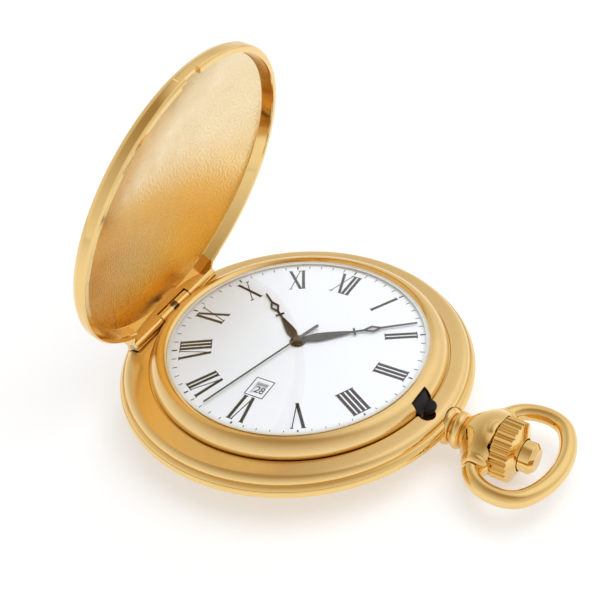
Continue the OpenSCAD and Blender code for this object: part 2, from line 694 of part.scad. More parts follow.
module crown() {
  color(gold) difference() {
    union() {
      on_pendant(crown_x) rotate_extrude() polygon([[0, 0], [crown_r - 0.25, 0], [crown_r, 0.25],
        [crown_r - 0.12, crown_len - 0.55], [crown_r - 0.75, crown_len], [0, crown_len]]);
      on_pendant(hub_x) cylinder(r = hub_r, h = crown_x - hub_x + 0.2);
    }
    for (i = [0:flutes - 1]) on_pendant(crown_x - 1) rotate([0, 0, i * 360 / flutes])
      translate([crown_r + 0.12, 0, 0]) cylinder(r = 0.32, h = crown_len + 2, $fn = 24);
    on_pendant(hub_x - 1) cylinder(r = sleeve_r + run_gap, h = 20);
    on_pendant(button_seat - button_stroke - 0.05) cylinder(r = button_r + run_gap, h = 10);
    turned() translate([pin_x, 0, pendant_z]) rotate([90, 0, 0])
      cylinder(r = cross_pin_r + press_gap, h = 6.4, center = true);
    on_pendant(crown_x - 1) tube(cup_r - 0.1, hub_r, 1.25);
  }
}

module cross_pin() {
  color(steel) turned() translate([pin_x, 0, pendant_z]) rotate([90, 0, 0])
    cylinder(r = cross_pin_r, h = 6, center = true);
}

module winding_stem() {
  square_w = 1.4 * stem_r;
  color(steel) difference() {
    union() {
      on_pendant(stem_end + 3.4) cylinder(r = stem_r, h = pin_x + 0.9 - stem_end - 3.4);
      on_pendant(stem_end) translate([-square_w / 2, -square_w / 2, 0]) cube([square_w, square_w, 3.6]);
      on_pendant(stem_end - 2.6) cylinder(r = stem_pivot_r, h = 2.8);
    }
    turned() translate([pin_x, 0, pendant_z]) rotate([90, 0, 0])
      cylinder(r = cross_pin_r + press_gap, h = 6, center = true);
    on_pendant(groove_x) tube(3, 0.38, 0.7);
  }
}

module clutch_pinion() {
  square_w = 1.4 * stem_r + 2 * run_gap;
  color(steel) on_pendant(stem_end + 0.5) difference() {
    union() {
      spur(0.13, 16, 0.7);
      translate([0, 0, 0.6]) cylinder(r = 0.85, h = 1.3);
    }
    translate([-square_w / 2, -square_w / 2, -1]) cube([square_w, square_w, 5]);
  }
}

module push_button() {
  slot_w = 2 * cross_pin_r + 2 * button_stroke + 0.12;
  color(gold) difference() {
    union() {
      on_pendant(button_seat) rotate_extrude() polygon([[0, 0], [button_r, 0],
        [button_r, button_tip - button_seat - 0.45], [button_r - 0.5, button_tip - button_seat],
        [0, button_tip - button_seat]]);
      on_pendant(sleeve_end) cylinder(r = sleeve_r, h = button_seat - sleeve_end + 0.1);
    }
    on_pendant(sleeve_end - 1) cylinder(r = sleeve_bore, h = pin_x + button_stroke + 2.1 - sleeve_end);
    turned() translate([pin_x - slot_w / 2, -3, pendant_z - cross_pin_r - 0.04])
      cube([slot_w, 6, 2 * cross_pin_r + 0.08]);
  }
}

module lid_catch() {
  color(black_steel) turned() difference() {
    union() {
      translate([catch_x, catch_y, ring_z + 0.02]) cube([catch_t, catch_w, catch_top - ring_z - 0.02]);
      translate([catch_x, catch_y, lid_rim_z + 0.6]) cube([1.3, catch_w, catch_top - lid_rim_z - 0.6]);
      intersection() {
        translate([catch_x, catch_y, nose_z]) cube([nose_tip - catch_x, catch_w, nose_t]);
        translate([nose_tip - 2.4, catch_y + catch_w / 2, 0]) cylinder(r = 2.4, h = 20);
      }
    }
    translate([catch_x - 1, 0, pendant_z]) rotate([0, 90, 0]) cylinder(r = stem_r + 0.15, h = 3);
  }
}

module setting_lever() {
  arm_x = groove_x + 0.35 - lever_at[0];
  color(steel) placed(lever_at, pendant_z) {
    translate([0, 0, 0.8]) cylinder(r = 0.6, h = 0.3);
    arbor(0.9, plate_z + 0.4 - pendant_z, 0.3);
    translate([0, 0, 0.8]) linear_extrude(height = 0.3)
      polygon([[-0.4, 0.2], [0.4, -0.2], [arm_x + 0.3, -lever_at[1]], [arm_x - 0.3, -lever_at[1]]]);
    translate([arm_x, -lever_at[1], 0.8]) cylinder(r = 0.35, h = 0.3);
    translate([arm_x, -lever_at[1], 0.46]) cylinder(r = 0.3, h = 0.4);
  }
}

module setting_wheel() {
  color(steel) placed(setting_at, 0) {
    translate([0, 0, plate_z - 0.58]) spur(0.1, setting_teeth, 0.3);
    arbor(plate_z - 0.4, centre_wheel_z + 0.1, 0.25);
    translate([0, 0, centre_wheel_z]) spur(0.1, 12, 0.45);
  }
}

module main_plate() {
  color([0.82, 0.82, 0.8]) difference() {
    turned() difference() {
      union() {
        translate([0, 0, plate_z]) cylinder(r = plate_r, h = plate_t);
        translate([0, 0, recess_z + 0.02]) cylinder(r = plate_r + 0.62, h = plate_top - recess_z - 0.02);
        for (a = pillar_a) rotate([0, 0, a]) translate([pillar_at, 0, bridge_z + bridge_t + press_gap])
          cylinder(r = 0.9, h = plate_z - bridge_z - bridge_t);
        translate([5, -2.3, pendant_z - 0.7]) cube([1.2, 3, 1.65]);
        translate([5, -2.3, pendant_z - 0.7]) cube([1.2, 0.7, plate_z - pendant_z + 1]);
      }
      translate([0, 0, recess_z]) cylinder(r = hour_m * hour_teeth / 2 + 0.35, h = 5);
      translate([third_at[0], third_at[1], recess_z]) cylinder(r = 0.55, h = 5);
      translate([minute_at[0], 0, recess_z]) cylinder(r = motion_m * minute_teeth / 2 + 0.2, h = 5);
      translate([date_at[0], date_at[1], recess_z]) cylinder(r = hour_m * date_teeth / 2 + 0.2, h = 5);
      translate([setting_at[0], 0, recess_z]) cylinder(r = 0.85, h = 5);
      translate([0, 0, plate_z - 1]) cylinder(r = centre_tube_r + press_gap, h = 5);
      translate([third_at[0], third_at[1], plate_z - 1]) cylinder(r = arbor_r + run_gap, h = 5, $fn = 32);
      translate([setting_at[0], 0, plate_z - 1]) cylinder(r = 0.25 + run_gap, h = 5);
      for (p = [mid_at, rotor_at]) translate([p[0], p[1], plate_z - 1])
        cylinder(r = arbor_r + run_gap, h = 1.35, $fn = 32);
      translate([minute_at[0], 0, recess_z - 0.3]) cylinder(r = arbor_r + run_gap, h = 1, $fn = 32);
      translate([date_at[0], date_at[1], recess_z - 0.3]) cylinder(r = arbor_r + run_gap, h = 1, $fn = 32);
      translate([lever_at[0], lever_at[1], plate_z - 1]) cylinder(r = 0.3 + run_gap, h = 1.5);
      for (a = pillar_a) rotate([0, 0, a]) translate([pillar_at, 0, bridge_z]) cylinder(r = 0.32, h = 2.2);
      translate([4, 0, pendant_z]) rotate([0, 90, 0]) cylinder(r = stem_pivot_r + run_gap, h = 4);
      for (a = [50, 240, 300]) rotate([0, 0, a]) translate([guard_foot_at, 0, plate_top - 0.4]) cylinder(r = 0.22, h = 2);
      rotate([0, 0, -50]) translate([jumper_at, 0, plate_top - 0.4]) cylinder(r = 0.22, h = 2);
    }
    for (a = [70, 250]) rotate([0, 0, a]) translate([plate_r - 0.28, 0, recess_z + 0.14]) cylinder(r = 0.34, h = 3);
  }
}

module train_bridge() {
  color(brass) turned() difference() {
    union() {
      translate([0, 0, bridge_z]) cylinder(r = bridge_r, h = bridge_t);
      translate([0, 0, bridge_z + bridge_t - fine]) cylinder(r = 0.5, h = 0.3);
    }
    translate([battery_at[0], battery_at[1], bridge_z - 1]) cylinder(r = battery_r + 0.25, h = 5);
    for (p = [third_at, mid_at, rotor_at]) translate([p[0], p[1], bridge_z - 1])
      cylinder(r = arbor_r + run_gap, h = 5, $fn = 32);
    translate([0, 0, bridge_z - 1]) cylinder(r = second_arbor_r + run_gap, h = 5, $fn = 32);
    for (a = pillar_a) rotate([0, 0, a]) translate([pillar_at, 0, bridge_z - 1]) cylinder(r = 0.34, h = 5, $fn = 32);
    for (p = board_screw_at) translate([p[0], p[1], bridge_z - 1]) cylinder(r = 0.26, h = 5, $fn = 32);
    rotate([0, 0, 150]) translate([2.1, 0, bridge_z - 1]) cylinder(r = 0.26, h = 5, $fn = 32);
    translate([4.6, -2.4, bridge_z - 1]) cube([10, 4.8, 5]);
  }
}

module bridge_screws() {
  color(steel) turned() {
    for (a = pillar_a) rotate([0, 0, a]) translate([pillar_at, 0, bridge_z - 0.36]) plate_screw(0.7, 0.35, 0.3, 2);
    for (p = board_screw_at) translate([p[0], p[1], board_z - 0.21]) rotate([0, 0, 40])
      plate_screw(0.5, 0.2, 0.24, 0.7);
    rotate([0, 0, 150]) translate([2.1, 0, bridge_z - 0.41]) plate_screw(0.5, 0.2, 0.24, 0.6);
  }
}

module circuit_board() {
  color([0.12, 0.42, 0.24]) turned() difference() {
    intersection() {
      translate([-6.4, -10.6, board_z]) cube([12.4, 7.4, board_t]);
      cylinder(r = plate_r - 2.1, h = 20);
    }
    for (p = board_screw_at) translate([p[0], p[1], board_z - 1]) cylinder(r = 0.26, h = 5, $fn = 32);
  }
}

module quartz_can() {
  color(steel) turned() translate([-4.4, -8.2, board_z - 0.76]) rotate([0, 90, 0]) cylinder(r = 0.75, h = 5.4);
}

module driver_chip() {
  color([0.07, 0.07, 0.08]) turned() translate([1.9, -6.4, board_z - 0.71]) cube([2.5, 2.5, 0.7]);
}

module coil_core() {
  color(steel) turned() translate([-6.3, -9.7, plate_z - 1.25]) cube([10.6, 0.8, 0.34]);
}

module coil_winding() {
  color([0.68, 0.32, 0.16]) turned() difference() {
    translate([-4.6, -9.3, plate_z - 1.08]) rotate([0, 90, 0]) cylinder(r = 0.9, h = 7.2);
    translate([-7, -9.7 - press_gap, plate_z - 1.25 - press_gap]) cube([12, 0.8 + 2 * press_gap, 0.34 + 2 * press_gap]);
  }
}

module stator() {
  color(steel) turned() difference() {
    union() {
      translate([-6.4, -5.5, plate_z - 0.9]) cube([10.8, 2.55, 0.34]);
      translate([-6.4, -9.9, plate_z - 0.9]) cube([1.5, 5, 0.34]);
      translate([2.9, -9.9, plate_z - 0.9]) cube([1.5, 5, 0.34]);
    }
    translate([rotor_at[0], rotor_at[1], 0]) cylinder(r = 0.95, h = 20);
  }
}

module rotor() {
  color([0.3, 0.3, 0.33]) placed(rotor_at, 0) {
    arbor(pivot_z, plate_z + 0.3);
    translate([0, 0, mid_wheel_z - 0.05]) spur(train_m, rotor_pinion, 0.26, 22.5);
    translate([0, 0, plate_z - 1.02]) cylinder(r = 0.8, h = 0.6);
  }
}

module intermediate_wheel() {
  color(brass) placed(mid_at, 0) {
    arbor(pivot_z, plate_z + 0.3);
    translate([0, 0, mid_wheel_z]) train_wheel(train_m, mid_teeth, wheel_t, 5);
    translate([0, 0, seconds_wheel_z - 0.06]) spur(train_m, mid_pinion, 0.36, mid_a);
  }
}

module seconds_wheel() {
  color(brass) placed([0, 0], 0) {
    arbor(pivot_z, second_hand_z + 0.1, second_arbor_r);
    translate([0, 0, seconds_wheel_z]) train_wheel(train_m, seconds_teeth, wheel_t, 5, mid_a + 3);
    translate([0, 0, third_wheel_z - 0.06]) spur(train_m, seconds_pinion, 0.26, third_a + 22.5);
  }
}

module third_wheel() {
  color(brass) placed(third_at, 0) {
    arbor(pivot_z, centre_wheel_z + 0.16);
    translate([0, 0, third_wheel_z]) train_wheel(train_m, third_teeth, wheel_t, 5, third_a + 180);
    translate([0, 0, centre_wheel_z - 0.04]) spur(centre_m, third_pinion, 0.2, third_a + 22.5);
  }
}

module centre_wheel() {
  color(brass) placed([0, 0], 0) difference() {
    union() {
      translate([0, 0, centre_wheel_z]) train_wheel(centre_m, centre_teeth, 0.12, 5, third_a);
      translate([0, 0, centre_wheel_z]) spur(motion_m, cannon_teeth, 0.36);
      translate([0, 0, centre_wheel_z]) cylinder(r = cannon_r, h = minute_hand_z + 0.14 - centre_wheel_z);
    }
    translate([0, 0, plate_z]) cylinder(r = cannon_bore, h = 5);
  }
}

module minute_wheel() {
  color(brass) placed(minute_at, 0) {
    arbor(recess_z - 0.25, hour_wheel_z + 0.2);
    translate([0, 0, minute_wheel_z]) train_wheel(motion_m, minute_teeth, wheel_t, 5, 180 / minute_teeth);
    translate([0, 0, minute_wheel_z]) spur(hour_m, minute_pinion, 0.38);
  }
}

module hour_wheel() {
  color(brass) placed([0, 0], 0) difference() {
    union() {
      translate([0, 0, hour_wheel_z]) spur(hour_m, hour_teeth, wheel_t, 180 / hour_teeth);
      translate([0, 0, hour_wheel_z]) cylinder(r = hour_r, h = hour_hand_z + 0.14 - hour_wheel_z);
    }
    translate([0, 0, plate_z]) cylinder(r = hour_bore, h = 5);
    for (i = [0:4]) rotate([0, 0, i * 72]) translate([1.5, 0, plate_z]) cylinder(r = 0.38, h = 5);
  }
}

module date_drive_wheel() {
  color(plastic) placed(date_at, 0) {
    arbor(recess_z - 0.25, hour_wheel_z + 0.2);
    translate([0, 0, hour_wheel_z]) train_wheel(hour_m, date_teeth, wheel_t, 6, date_a + 180);
    translate([0, 0, hour_wheel_z + 0.1]) cylinder(r = 0.5, h = date_z + 0.08 - hour_wheel_z);
    rotate([0, 0, date_a - 150]) translate([0, -0.15, date_z]) cube([1.75, 0.3, 0.18]);
  }
}

// Inner outline of the date ring, with a tooth for every day
function date_tooth_points() = let (step = 360 / ring_teeth)
  [for (i = [0:ring_teeth - 1]) for (p = [[ring_in, -0.3], [ring_in - 0.3, -0.08], [ring_in - 0.3, 0.08], [ring_in, 0.3]])
    p[0] * [cos((i + p[1]) * step), sin((i + p[1]) * step)]];

module date_ring() {
  color(white_lacquer) translate([0, 0, date_z]) linear_extrude(height = date_t) difference() {
    circle(r = ring_out);
    rotate([0, 0, 18]) polygon(date_tooth_points());
  }
}

// Strokes of each figure: top, upper left, upper right, middle, lower left, lower right, foot
figures = [[1, 1, 1, 0, 1, 1, 1], [0, 0, 1, 0, 0, 1, 0], [1, 0, 1, 1, 1, 0, 1], [1, 0, 1, 1, 0, 1, 1],
  [0, 1, 1, 1, 0, 1, 0], [1, 1, 0, 1, 0, 1, 1], [1, 1, 0, 1, 1, 1, 1], [1, 0, 1, 0, 0, 1, 0],
  [1, 1, 1, 1, 1, 1, 1], [1, 1, 1, 1, 0, 1, 1]];
figure_w = 0.58;
figure_h = 1.3;
figure_t = 0.17;

module figure(n) {
  half = figure_h / 2;
  f = figures[n];
  if (f[0] == 1) translate([-figure_w / 2, half - figure_t]) square([figure_w, figure_t]);
  if (f[1] == 1) translate([-figure_w / 2, -figure_t / 2]) square([figure_t, half + figure_t / 2]);
  if (f[2] == 1) translate([figure_w / 2 - figure_t, -figure_t / 2]) square([figure_t, half + figure_t / 2]);
  if (f[3] == 1) translate([-figure_w / 2, -figure_t / 2]) square([figure_w, figure_t]);
  if (f[4] == 1) translate([-figure_w / 2, -half]) square([figure_t, half + figure_t / 2]);
  if (f[5] == 1) translate([figure_w / 2 - figure_t, -half]) square([figure_t, half + figure_t / 2]);
  if (f[6] == 1) translate([-figure_w / 2, -half]) square([figure_w, figure_t]);
}

module date_numbers() {
  color(ink) translate([0, 0, date_z + date_t]) linear_extrude(height = ink_t)
    for (n = [1:31]) rotate([0, 0, (n - show_date) * 360 / 31]) translate([0, -window_r - 0.1]) {
      if (n > 9) translate([-0.38, 0]) figure(floor(n / 10));
      translate([n > 9 ? 0.38 : 0, 0]) figure(n % 10);
    }
}

module date_plate() {
  color(steel) turned() difference() {
    union() {
      translate([0, 0, guard_z]) cylinder(r = guard_r, h = guard_t);
      for (a = [50, 240, 300]) rotate([0, 0, a]) translate([guard_foot_at, 0, plate_top + fine])
        cylinder(r = 0.35, h = guard_z - plate_top);
      for (a = [50, 240, 300]) rotate([0, 0, a]) translate([guard_foot_at, 0, plate_top - 0.35]) cylinder(r = 0.2, h = 0.5);
    }
    translate([0, 0, guard_z - 1]) cylinder(r = hour_r + 0.12, h = 3);
  }
}

module date_jumper() {
  color(steel) turned() {
    rotate([0, 0, -50]) {
      translate([jumper_at, 0, date_z]) cylinder(r = 0.45, h = 0.18);
      translate([jumper_at, 0, plate_top - 0.35]) cylinder(r = 0.2, h = 0.5);
      translate([0, 0, date_z]) rotate_extrude(angle = 36) translate([jumper_at - 0.1, 0]) square([0.2, 0.18]);
      rotate([0, 0, 34.6]) translate([jumper_at, -0.1, date_z]) cube([0.92, 0.2, 0.18]);
    }
  }
}

module battery() {
  color(steel) placed(battery_at, battery_z) rotate_extrude() polygon([[0, 0], [battery_r - 0.55, 0],
    [battery_r - 0.5, 0.25], [battery_r - 0.15, 0.25], [battery_r, 0.4], [battery_r, battery_t - 0.1],
    [battery_r - 0.1, battery_t], [0, battery_t]]);
}

module battery_clamp() {
  color(brass) turned() rotate([0, 0, 150]) difference() {
    union() {
      translate([1.4, -1, bridge_z - 0.2]) cube([9.8, 2, 0.18]);
      translate([8, 0, bridge_z - 0.1]) cylinder(r = 0.9, h = battery_z - bridge_z + 0.09);
    }
    translate([2.1, 0, bridge_z - 1]) cylinder(r = 0.26, h = 5, $fn = 32);
  }
}

module casing_clamps() {
  color(steel) turned() for (a = clamp_a) rotate([0, 0, a]) difference() {
    translate([bridge_r - 0.85, -1.1, bridge_z - 0.17]) cube([clamp_at - bridge_r + 1.8, 2.2, 0.16]);
    translate([clamp_at, 0, bridge_z - 1]) cylinder(r = 0.36, h = 5);
  }
}

module casing_screws() {
  color(steel) turned() for (a = clamp_a) rotate([0, 0, a]) translate([clamp_at, 0, bridge_z - 0.43])
    rotate([0, 0, 65]) plate_screw(0.65, 0.25, 0.33, 2);
}

module dial() {
  color(white_lacquer) difference() {
    union() {
      translate([0, 0, dial_under]) cylinder(r = dial_r, h = dial_t);
      for (a = [70, 250]) rotate([0, 0, a]) translate([plate_r - 0.28, 0, recess_z + 0.2])
        cylinder(r = 0.3, h = dial_under - recess_z - 0.2 + fine);
    }
    cylinder(r = date_hole_r, h = 20);
    translate([-0.88, -window_r - 1.2, dial_under - 1]) cube([1.76, 2.2, 3]);
  }
}

// Strokes of the hour numerals, upright from the foot line
thick = 0.44;
thin = 0.13;
serif = 0.66;
vee_w = 1.5;
ex_w = 1.45;
letter_pitch = [0.68, vee_w + 0.2, ex_w + 0.2];
letters = [[0], [0, 0], [0, 0, 0], [0, 0, 0, 0], [1], [1, 0], [1, 0, 0], [1, 0, 0, 0], [0, 2], [2], [2, 0], [2, 0, 0]];
function span(list, n) = n == 0 ? 0 : letter_pitch[list[n - 1]] + span(list, n - 1);

module serif_bar(x, y, w) {
  translate([x - w / 2, y]) square([w, thin]);
}

module stroke(x0, x1, w) {
  polygon([[x0 - w / 2, 0], [x0 + w / 2, 0], [x1 + w / 2, numeral_h], [x1 - w / 2, numeral_h]]);
}

module letter_i() {
  stroke(0, 0, thick);
  serif_bar(0, 0, serif);
  serif_bar(0, numeral_h - thin, serif);
}

module letter_v() {
  stroke(0.1, -vee_w / 2, thick);
  stroke(0.1, vee_w / 2, thin);
  serif_bar(-vee_w / 2, numeral_h - thin, serif);
  serif_bar(vee_w / 2, numeral_h - thin, 0.6 * serif);
}

module letter_x() {
  stroke(ex_w / 2, -ex_w / 2, thick);
  stroke(-ex_w / 2, ex_w / 2, thin);
  for (s = [-1, 1]) {
    serif_bar(s * ex_w / 2, 0, 0.8 * serif);
    serif_bar(s * ex_w / 2, numeral_h - thin, 0.8 * serif);
  }
}

module numeral(n) {
  list = letters[n - 1];
  total = span(list, len(list));
  rotate([0, 0, -30 * n]) translate([0, numeral_r])
    for (i = [0:len(list) - 1]) translate([span(list, i) + letter_pitch[list[i]] / 2 - total / 2, 0]) {
      if (list[i] == 0) letter_i();
      if (list[i] == 1) letter_v();
      if (list[i] == 2) letter_x();
    }
}

module hour_numerals() {
  color(ink) difference() {
    translate([0, 0, dial_z]) linear_extrude(height = ink_t) for (n = [1:12]) numeral(n);
    translate([-1.75, -window_r - 1.85, 0]) cube([3.5, 3.8, 20]);
  }
}

module minute_track() {
  color(ink) for (i = [0:59]) {
    bold = i % 5 == 0 ? 1 : 0;
    rotate([0, 0, -6 * i]) translate([-0.05 - 0.06 * bold, track_r - 0.32 - 0.05 * bold, dial_z])
      cube([0.1 + 0.12 * bold, 0.64 + 0.1 * bold, ink_t]);
  }
}

module date_frame() {
  color(ink) translate([0, -window_r, dial_z]) difference() {
    translate([-1.4, -1.7, 0]) cube([2.8, 3.4, ink_t]);
    translate([-1.29, -1.59, -1]) cube([2.58, 3.18, 3]);
  }
}

// A flat piece of a hand, cut from an outline
module hand_plate(points) {
  linear_extrude(height = hand_t) polygon(points);
}

// A leaf with a cross-bar, an open lozenge and a needle point, along the twelve o'clock line
module leaf_hand(boss, hole, leaf, bar, lozenge, tip, w) {
  difference() {
    union() {
      cylinder(r = boss, h = hand_t);
      hand_plate([[-0.5 * w, 0.5], [-w, 0.38 * leaf], [-0.85 * w, 0.6 * leaf], [-0.36 * w, leaf], [-0.15, leaf + 0.4],
        [-0.15, lozenge - 1.2], [-0.14, lozenge + 1.2], [-0.11, tip], [0.11, tip], [0.14, lozenge + 1.2],
        [0.15, lozenge - 1.2], [0.15, leaf + 0.4], [0.36 * w, leaf], [0.85 * w, 0.6 * leaf], [w, 0.38 * leaf],
        [0.5 * w, 0.5]]);
      translate([-0.9 * w, bar - 0.14, 0]) cube([1.8 * w, 0.28, hand_t]);
      hand_plate([[0, lozenge - 1.55], [-0.68, lozenge], [0, lozenge + 1.55], [0.68, lozenge]]);
    }
    translate([0, 0, -1]) linear_extrude(height = 3)
      polygon([[0, lozenge - 0.85], [-0.38, lozenge], [0, lozenge + 0.85], [0.38, lozenge]]);
    translate([0, 0, -1]) cylinder(r = hole, h = 3);
  }
}

module hour_hand() {
  color(ink) translate([0, 0, hour_hand_z]) rotate([0, 0, -hour_angle])
    leaf_hand(1.12, hour_r + press_gap, 0.45 * hour_len, 0.549 * hour_len, 0.715 * hour_len, hour_len, 0.7);
}

module minute_hand() {
  color(ink) translate([0, 0, minute_hand_z]) rotate([0, 0, -minute_angle])
    leaf_hand(0.9, cannon_r + press_gap, 0.418 * minute_len, 0.473 * minute_len, 0.624 * minute_len, minute_len, 0.78);
}

module second_hand() {
  color(ink) translate([0, 0, second_hand_z]) rotate([0, 0, -second_angle]) difference() {
    union() {
      cylinder(r = 0.6, h = 0.22);
      translate([-0.1, 0, 0]) cube([0.2, second_len, hand_t]);
      translate([-0.22, -3.7, 0]) cube([0.44, 3.7, hand_t]);
      translate([0, -3.7, 0]) cylinder(r = 0.22, h = hand_t);
    }
    translate([0, 0, -fine]) cylinder(r = second_arbor_r + press_gap, h = 0.14);
  }
}

case_middle();
case_back();
back_gasket();
bezel();
crystal();
crystal_gasket();
movement_ring();
dial();
hour_numerals();
minute_track();
date_frame();
hinge_pin();
lift_spring();
spring_screws();
front_lid();
pendant();
crown_tube();
crown_gasket();
bow();
crown();
winding_stem();
cross_pin();
clutch_pinion();
push_button();
lid_catch();
setting_lever();
setting_wheel();
main_plate();
train_bridge();
bridge_screws();
circuit_board();
quartz_can();
driver_chip();
coil_core();
coil_winding();
stator();
rotor();
intermediate_wheel();
seconds_wheel();
third_wheel();
centre_wheel();
minute_wheel();
hour_wheel();
date_drive_wheel();
date_ring();
date_numbers();
date_plate();
date_jumper();
battery();
battery_clamp();
casing_clamps();
casing_screws();
hour_hand();
minute_hand();
second_hand();
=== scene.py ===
import math
import bmesh
import bpy
from mathutils import Matrix, Vector


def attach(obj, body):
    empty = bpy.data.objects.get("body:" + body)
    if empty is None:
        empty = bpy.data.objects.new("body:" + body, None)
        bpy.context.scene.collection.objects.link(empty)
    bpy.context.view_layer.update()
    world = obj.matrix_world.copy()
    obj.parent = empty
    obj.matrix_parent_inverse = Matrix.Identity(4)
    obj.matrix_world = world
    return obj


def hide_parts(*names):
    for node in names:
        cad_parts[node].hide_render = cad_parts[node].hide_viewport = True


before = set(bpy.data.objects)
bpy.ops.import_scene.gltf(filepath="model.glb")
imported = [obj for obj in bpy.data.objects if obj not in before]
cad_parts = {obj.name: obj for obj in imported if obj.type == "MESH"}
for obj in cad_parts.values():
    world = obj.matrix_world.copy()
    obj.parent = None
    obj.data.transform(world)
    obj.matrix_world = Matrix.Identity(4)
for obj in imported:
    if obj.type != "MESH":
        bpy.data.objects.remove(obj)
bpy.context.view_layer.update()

# ---------------------------------------------------------------- case middle
# The body of the case: a turned brass ring, gold plated. The ledge and shoulder round the bezel are satin, the two
# fine bands and the rounded rim below are polished. The pendant's neck, the catch and the hinge are let into it.
MM = 0.001
METRES = Matrix.Scale(MM, 4)             # shapes are drawn in mm
LINE_TURN, LINE_HEIGHT = -4.45, 4.4      # the pendant line: degrees from three o'clock, height over the rest face
HINGE_X, HINGE_Z = -21.41, 7.92          # the middle of the hinge pin, which lies along Y
KNUCKLE, KNUCKLE_ROOM = 1.0, 1.12        # radii of a knuckle and of the room cut for it
CASE_KNUCKLE = 3.3                       # half the length of the knuckle that the case carries
PIN_HOLE = 14.7                          # half the length that the pin's hole is drilled
RIM_SHIFT = -0.6                         # the outer form stands this far toward the hinge from the dial's centre
HOLLOW_TURN, HOLLOW_X = -10.45, 21.52    # where the shoulder is hollowed in front of the catch
FACTOR, COLOUR_A, COLOUR_B, BLENDED = 0, 6, 7, 2    # a colour Mix node's sockets, which share their names
NOISE_LOW, NOISE_HIGH = 0.3, 0.7         # a noise texture's values lie mostly between these
GRAIN_HEIGHT = 0.02                      # how high a finish's grain stands at full strength

PENDANT = Matrix.Rotation(math.radians(LINE_TURN), 4, "Z")
# A part turned on the pendant line or on the hinge takes its own Z along it
LINE = PENDANT @ Matrix.Translation((0, 0, LINE_HEIGHT)) @ Matrix.Rotation(math.radians(90), 4, "Y")
HINGE = Matrix.Translation((HINGE_X, 0, HINGE_Z)) @ Matrix.Rotation(math.radians(90), 4, "X")
OUTER = Matrix.Translation((RIM_SHIFT, 0, 0))


def linear(code):
    """An sRGB hex colour as the linear values that a shader takes."""
    parts = [int(code[i:i + 2], 16) / 255 for i in (0, 2, 4)]
    return tuple(c / 12.92 if c <= 0.04045 else ((c + 0.055) / 1.055) ** 2.4 for c in parts) + (1.0,)


def add(tree, kind, inputs=None, **settings):
    """Adds a shader node with its settings, input values and links."""
    made = tree.nodes.new("ShaderNode" + kind)
    for key, value in settings.items():
        setattr(made, key, value)
    for key, value in (inputs or {}).items():
        if isinstance(value, bpy.types.NodeSocket):
            tree.links.new(value, made.inputs[key])
        else:
            made.inputs[key].default_value = value
    return made


def material(name):
    """A new material and its empty node tree."""
    made = bpy.data.materials.new(name)
    made.use_nodes = True
    made.node_tree.nodes.clear()
    return made, made.node_tree


def gold_plate(name, light, deep, rough, haze, grain_mm, grain_depth):
    """Gold plate: two near tones in clouds, a roughness that wanders with handling, and a fine grain from the
    finish."""
    cloud_mm = 4.5
    made, tree = material(name)
    place = add(tree, "TexCoord").outputs["Object"]
    cloud = add(tree, "TexNoise", {"Vector": place, "Scale": 1 / (cloud_mm * MM), "Detail": 3.0, "Roughness": 0.55})
    tone = add(tree, "Mix", {FACTOR: cloud.outputs["Fac"], COLOUR_A: linear(light), COLOUR_B: linear(deep)},
               data_type="RGBA")
    wander = add(tree, "MapRange", {"Value": cloud.outputs["Fac"], "From Min": NOISE_LOW, "From Max": NOISE_HIGH,
                                    "To Min": rough - haze, "To Max": rough + haze})
    grain = add(tree, "TexNoise", {"Vector": place, "Scale": 1 / (grain_mm * MM), "Detail": 2.0})
    bump = add(tree, "Bump", {"Height": grain.outputs["Fac"], "Strength": grain_depth, "Distance": GRAIN_HEIGHT * MM})
    skin = add(tree, "BsdfPrincipled", {"Base Color": tone.outputs[BLENDED], "Metallic": 1.0,
                                        "Roughness": wander.outputs[0], "Normal": bump.outputs[0]})
    add(tree, "OutputMaterial", {"Surface": skin.outputs[0]})
    return made


# Polished gold plate: a near mirror with a little haze, so it shows the pale cloth of the light tent, the tent's
# dimmer and warmer top, and the floor
polished_gold = gold_plate("gold_plate_polished", "f1d08e", "edc883", 0.1, 0.02, 0.35, 0.03)
# Satin gold plate: fine blasted grain, which spreads every reflection into a pale even tone. The real grain is
# about 0.03 mm, drawn coarser so that it shows
satin_gold = gold_plate("gold_plate_satin", "f2d296", "eecb8b", 0.22, 0.02, 0.16, 0.02)


def rounded(corners, per):
    """A profile of (radius, height, fillet) corners as points, each corner rounded by its fillet in a number of
    steps. The first and last corners stay as they are."""
    most = 0.48    # of a side that one fillet may take, so that two never meet
    out = [corners[0][:2]]
    for before, (x, y, fillet), after in zip(corners, corners[1:], corners[2:]):
        if fillet <= 0:
            out.append((x, y))
            continue
        at = Vector((x, y))
        to_a, to_b = Vector(before[:2]) - at, Vector(after[:2]) - at
        len_a, len_b = to_a.length, to_b.length
        to_a.normalize()
        to_b.normalize()
        angle = to_a.angle(to_b)
        run = min(fillet / math.tan(angle / 2), most * len_a, most * len_b)
        radius = run * math.tan(angle / 2)
        centre = at + (to_a + to_b).normalized() * (radius / math.sin(angle / 2))
        first = at + to_a * run - centre
        last = at + to_b * run - centre
        a0, a1 = math.atan2(first.y, first.x), math.atan2(last.y, last.x)
        turn = (a1 - a0 + math.pi) % (2 * math.pi) - math.pi
        for k in range(per + 1):
            a = a0 + turn * k / per
            out.append((centre.x + radius * math.cos(a), centre.y + radius * math.sin(a)))
    return out + [corners[-1][:2]]


def arc(cx, cy, rx, ry, a0, a1, count):
    """Points along an arc of a profile, in mm and degrees."""
    return [(cx + rx * math.cos(math.radians(a0 + (a1 - a0) * i / count)),
             cy + ry * math.sin(math.radians(a0 + (a1 - a0) * i / count))) for i in range(count + 1)]


def mesh_from(bm, move):
    """The mesh of a shape, moved to its place in metres."""
    bm.transform(move)
    mesh = bpy.data.meshes.new("shape")
    bm.to_mesh(mesh)
    bm.free()
    return mesh


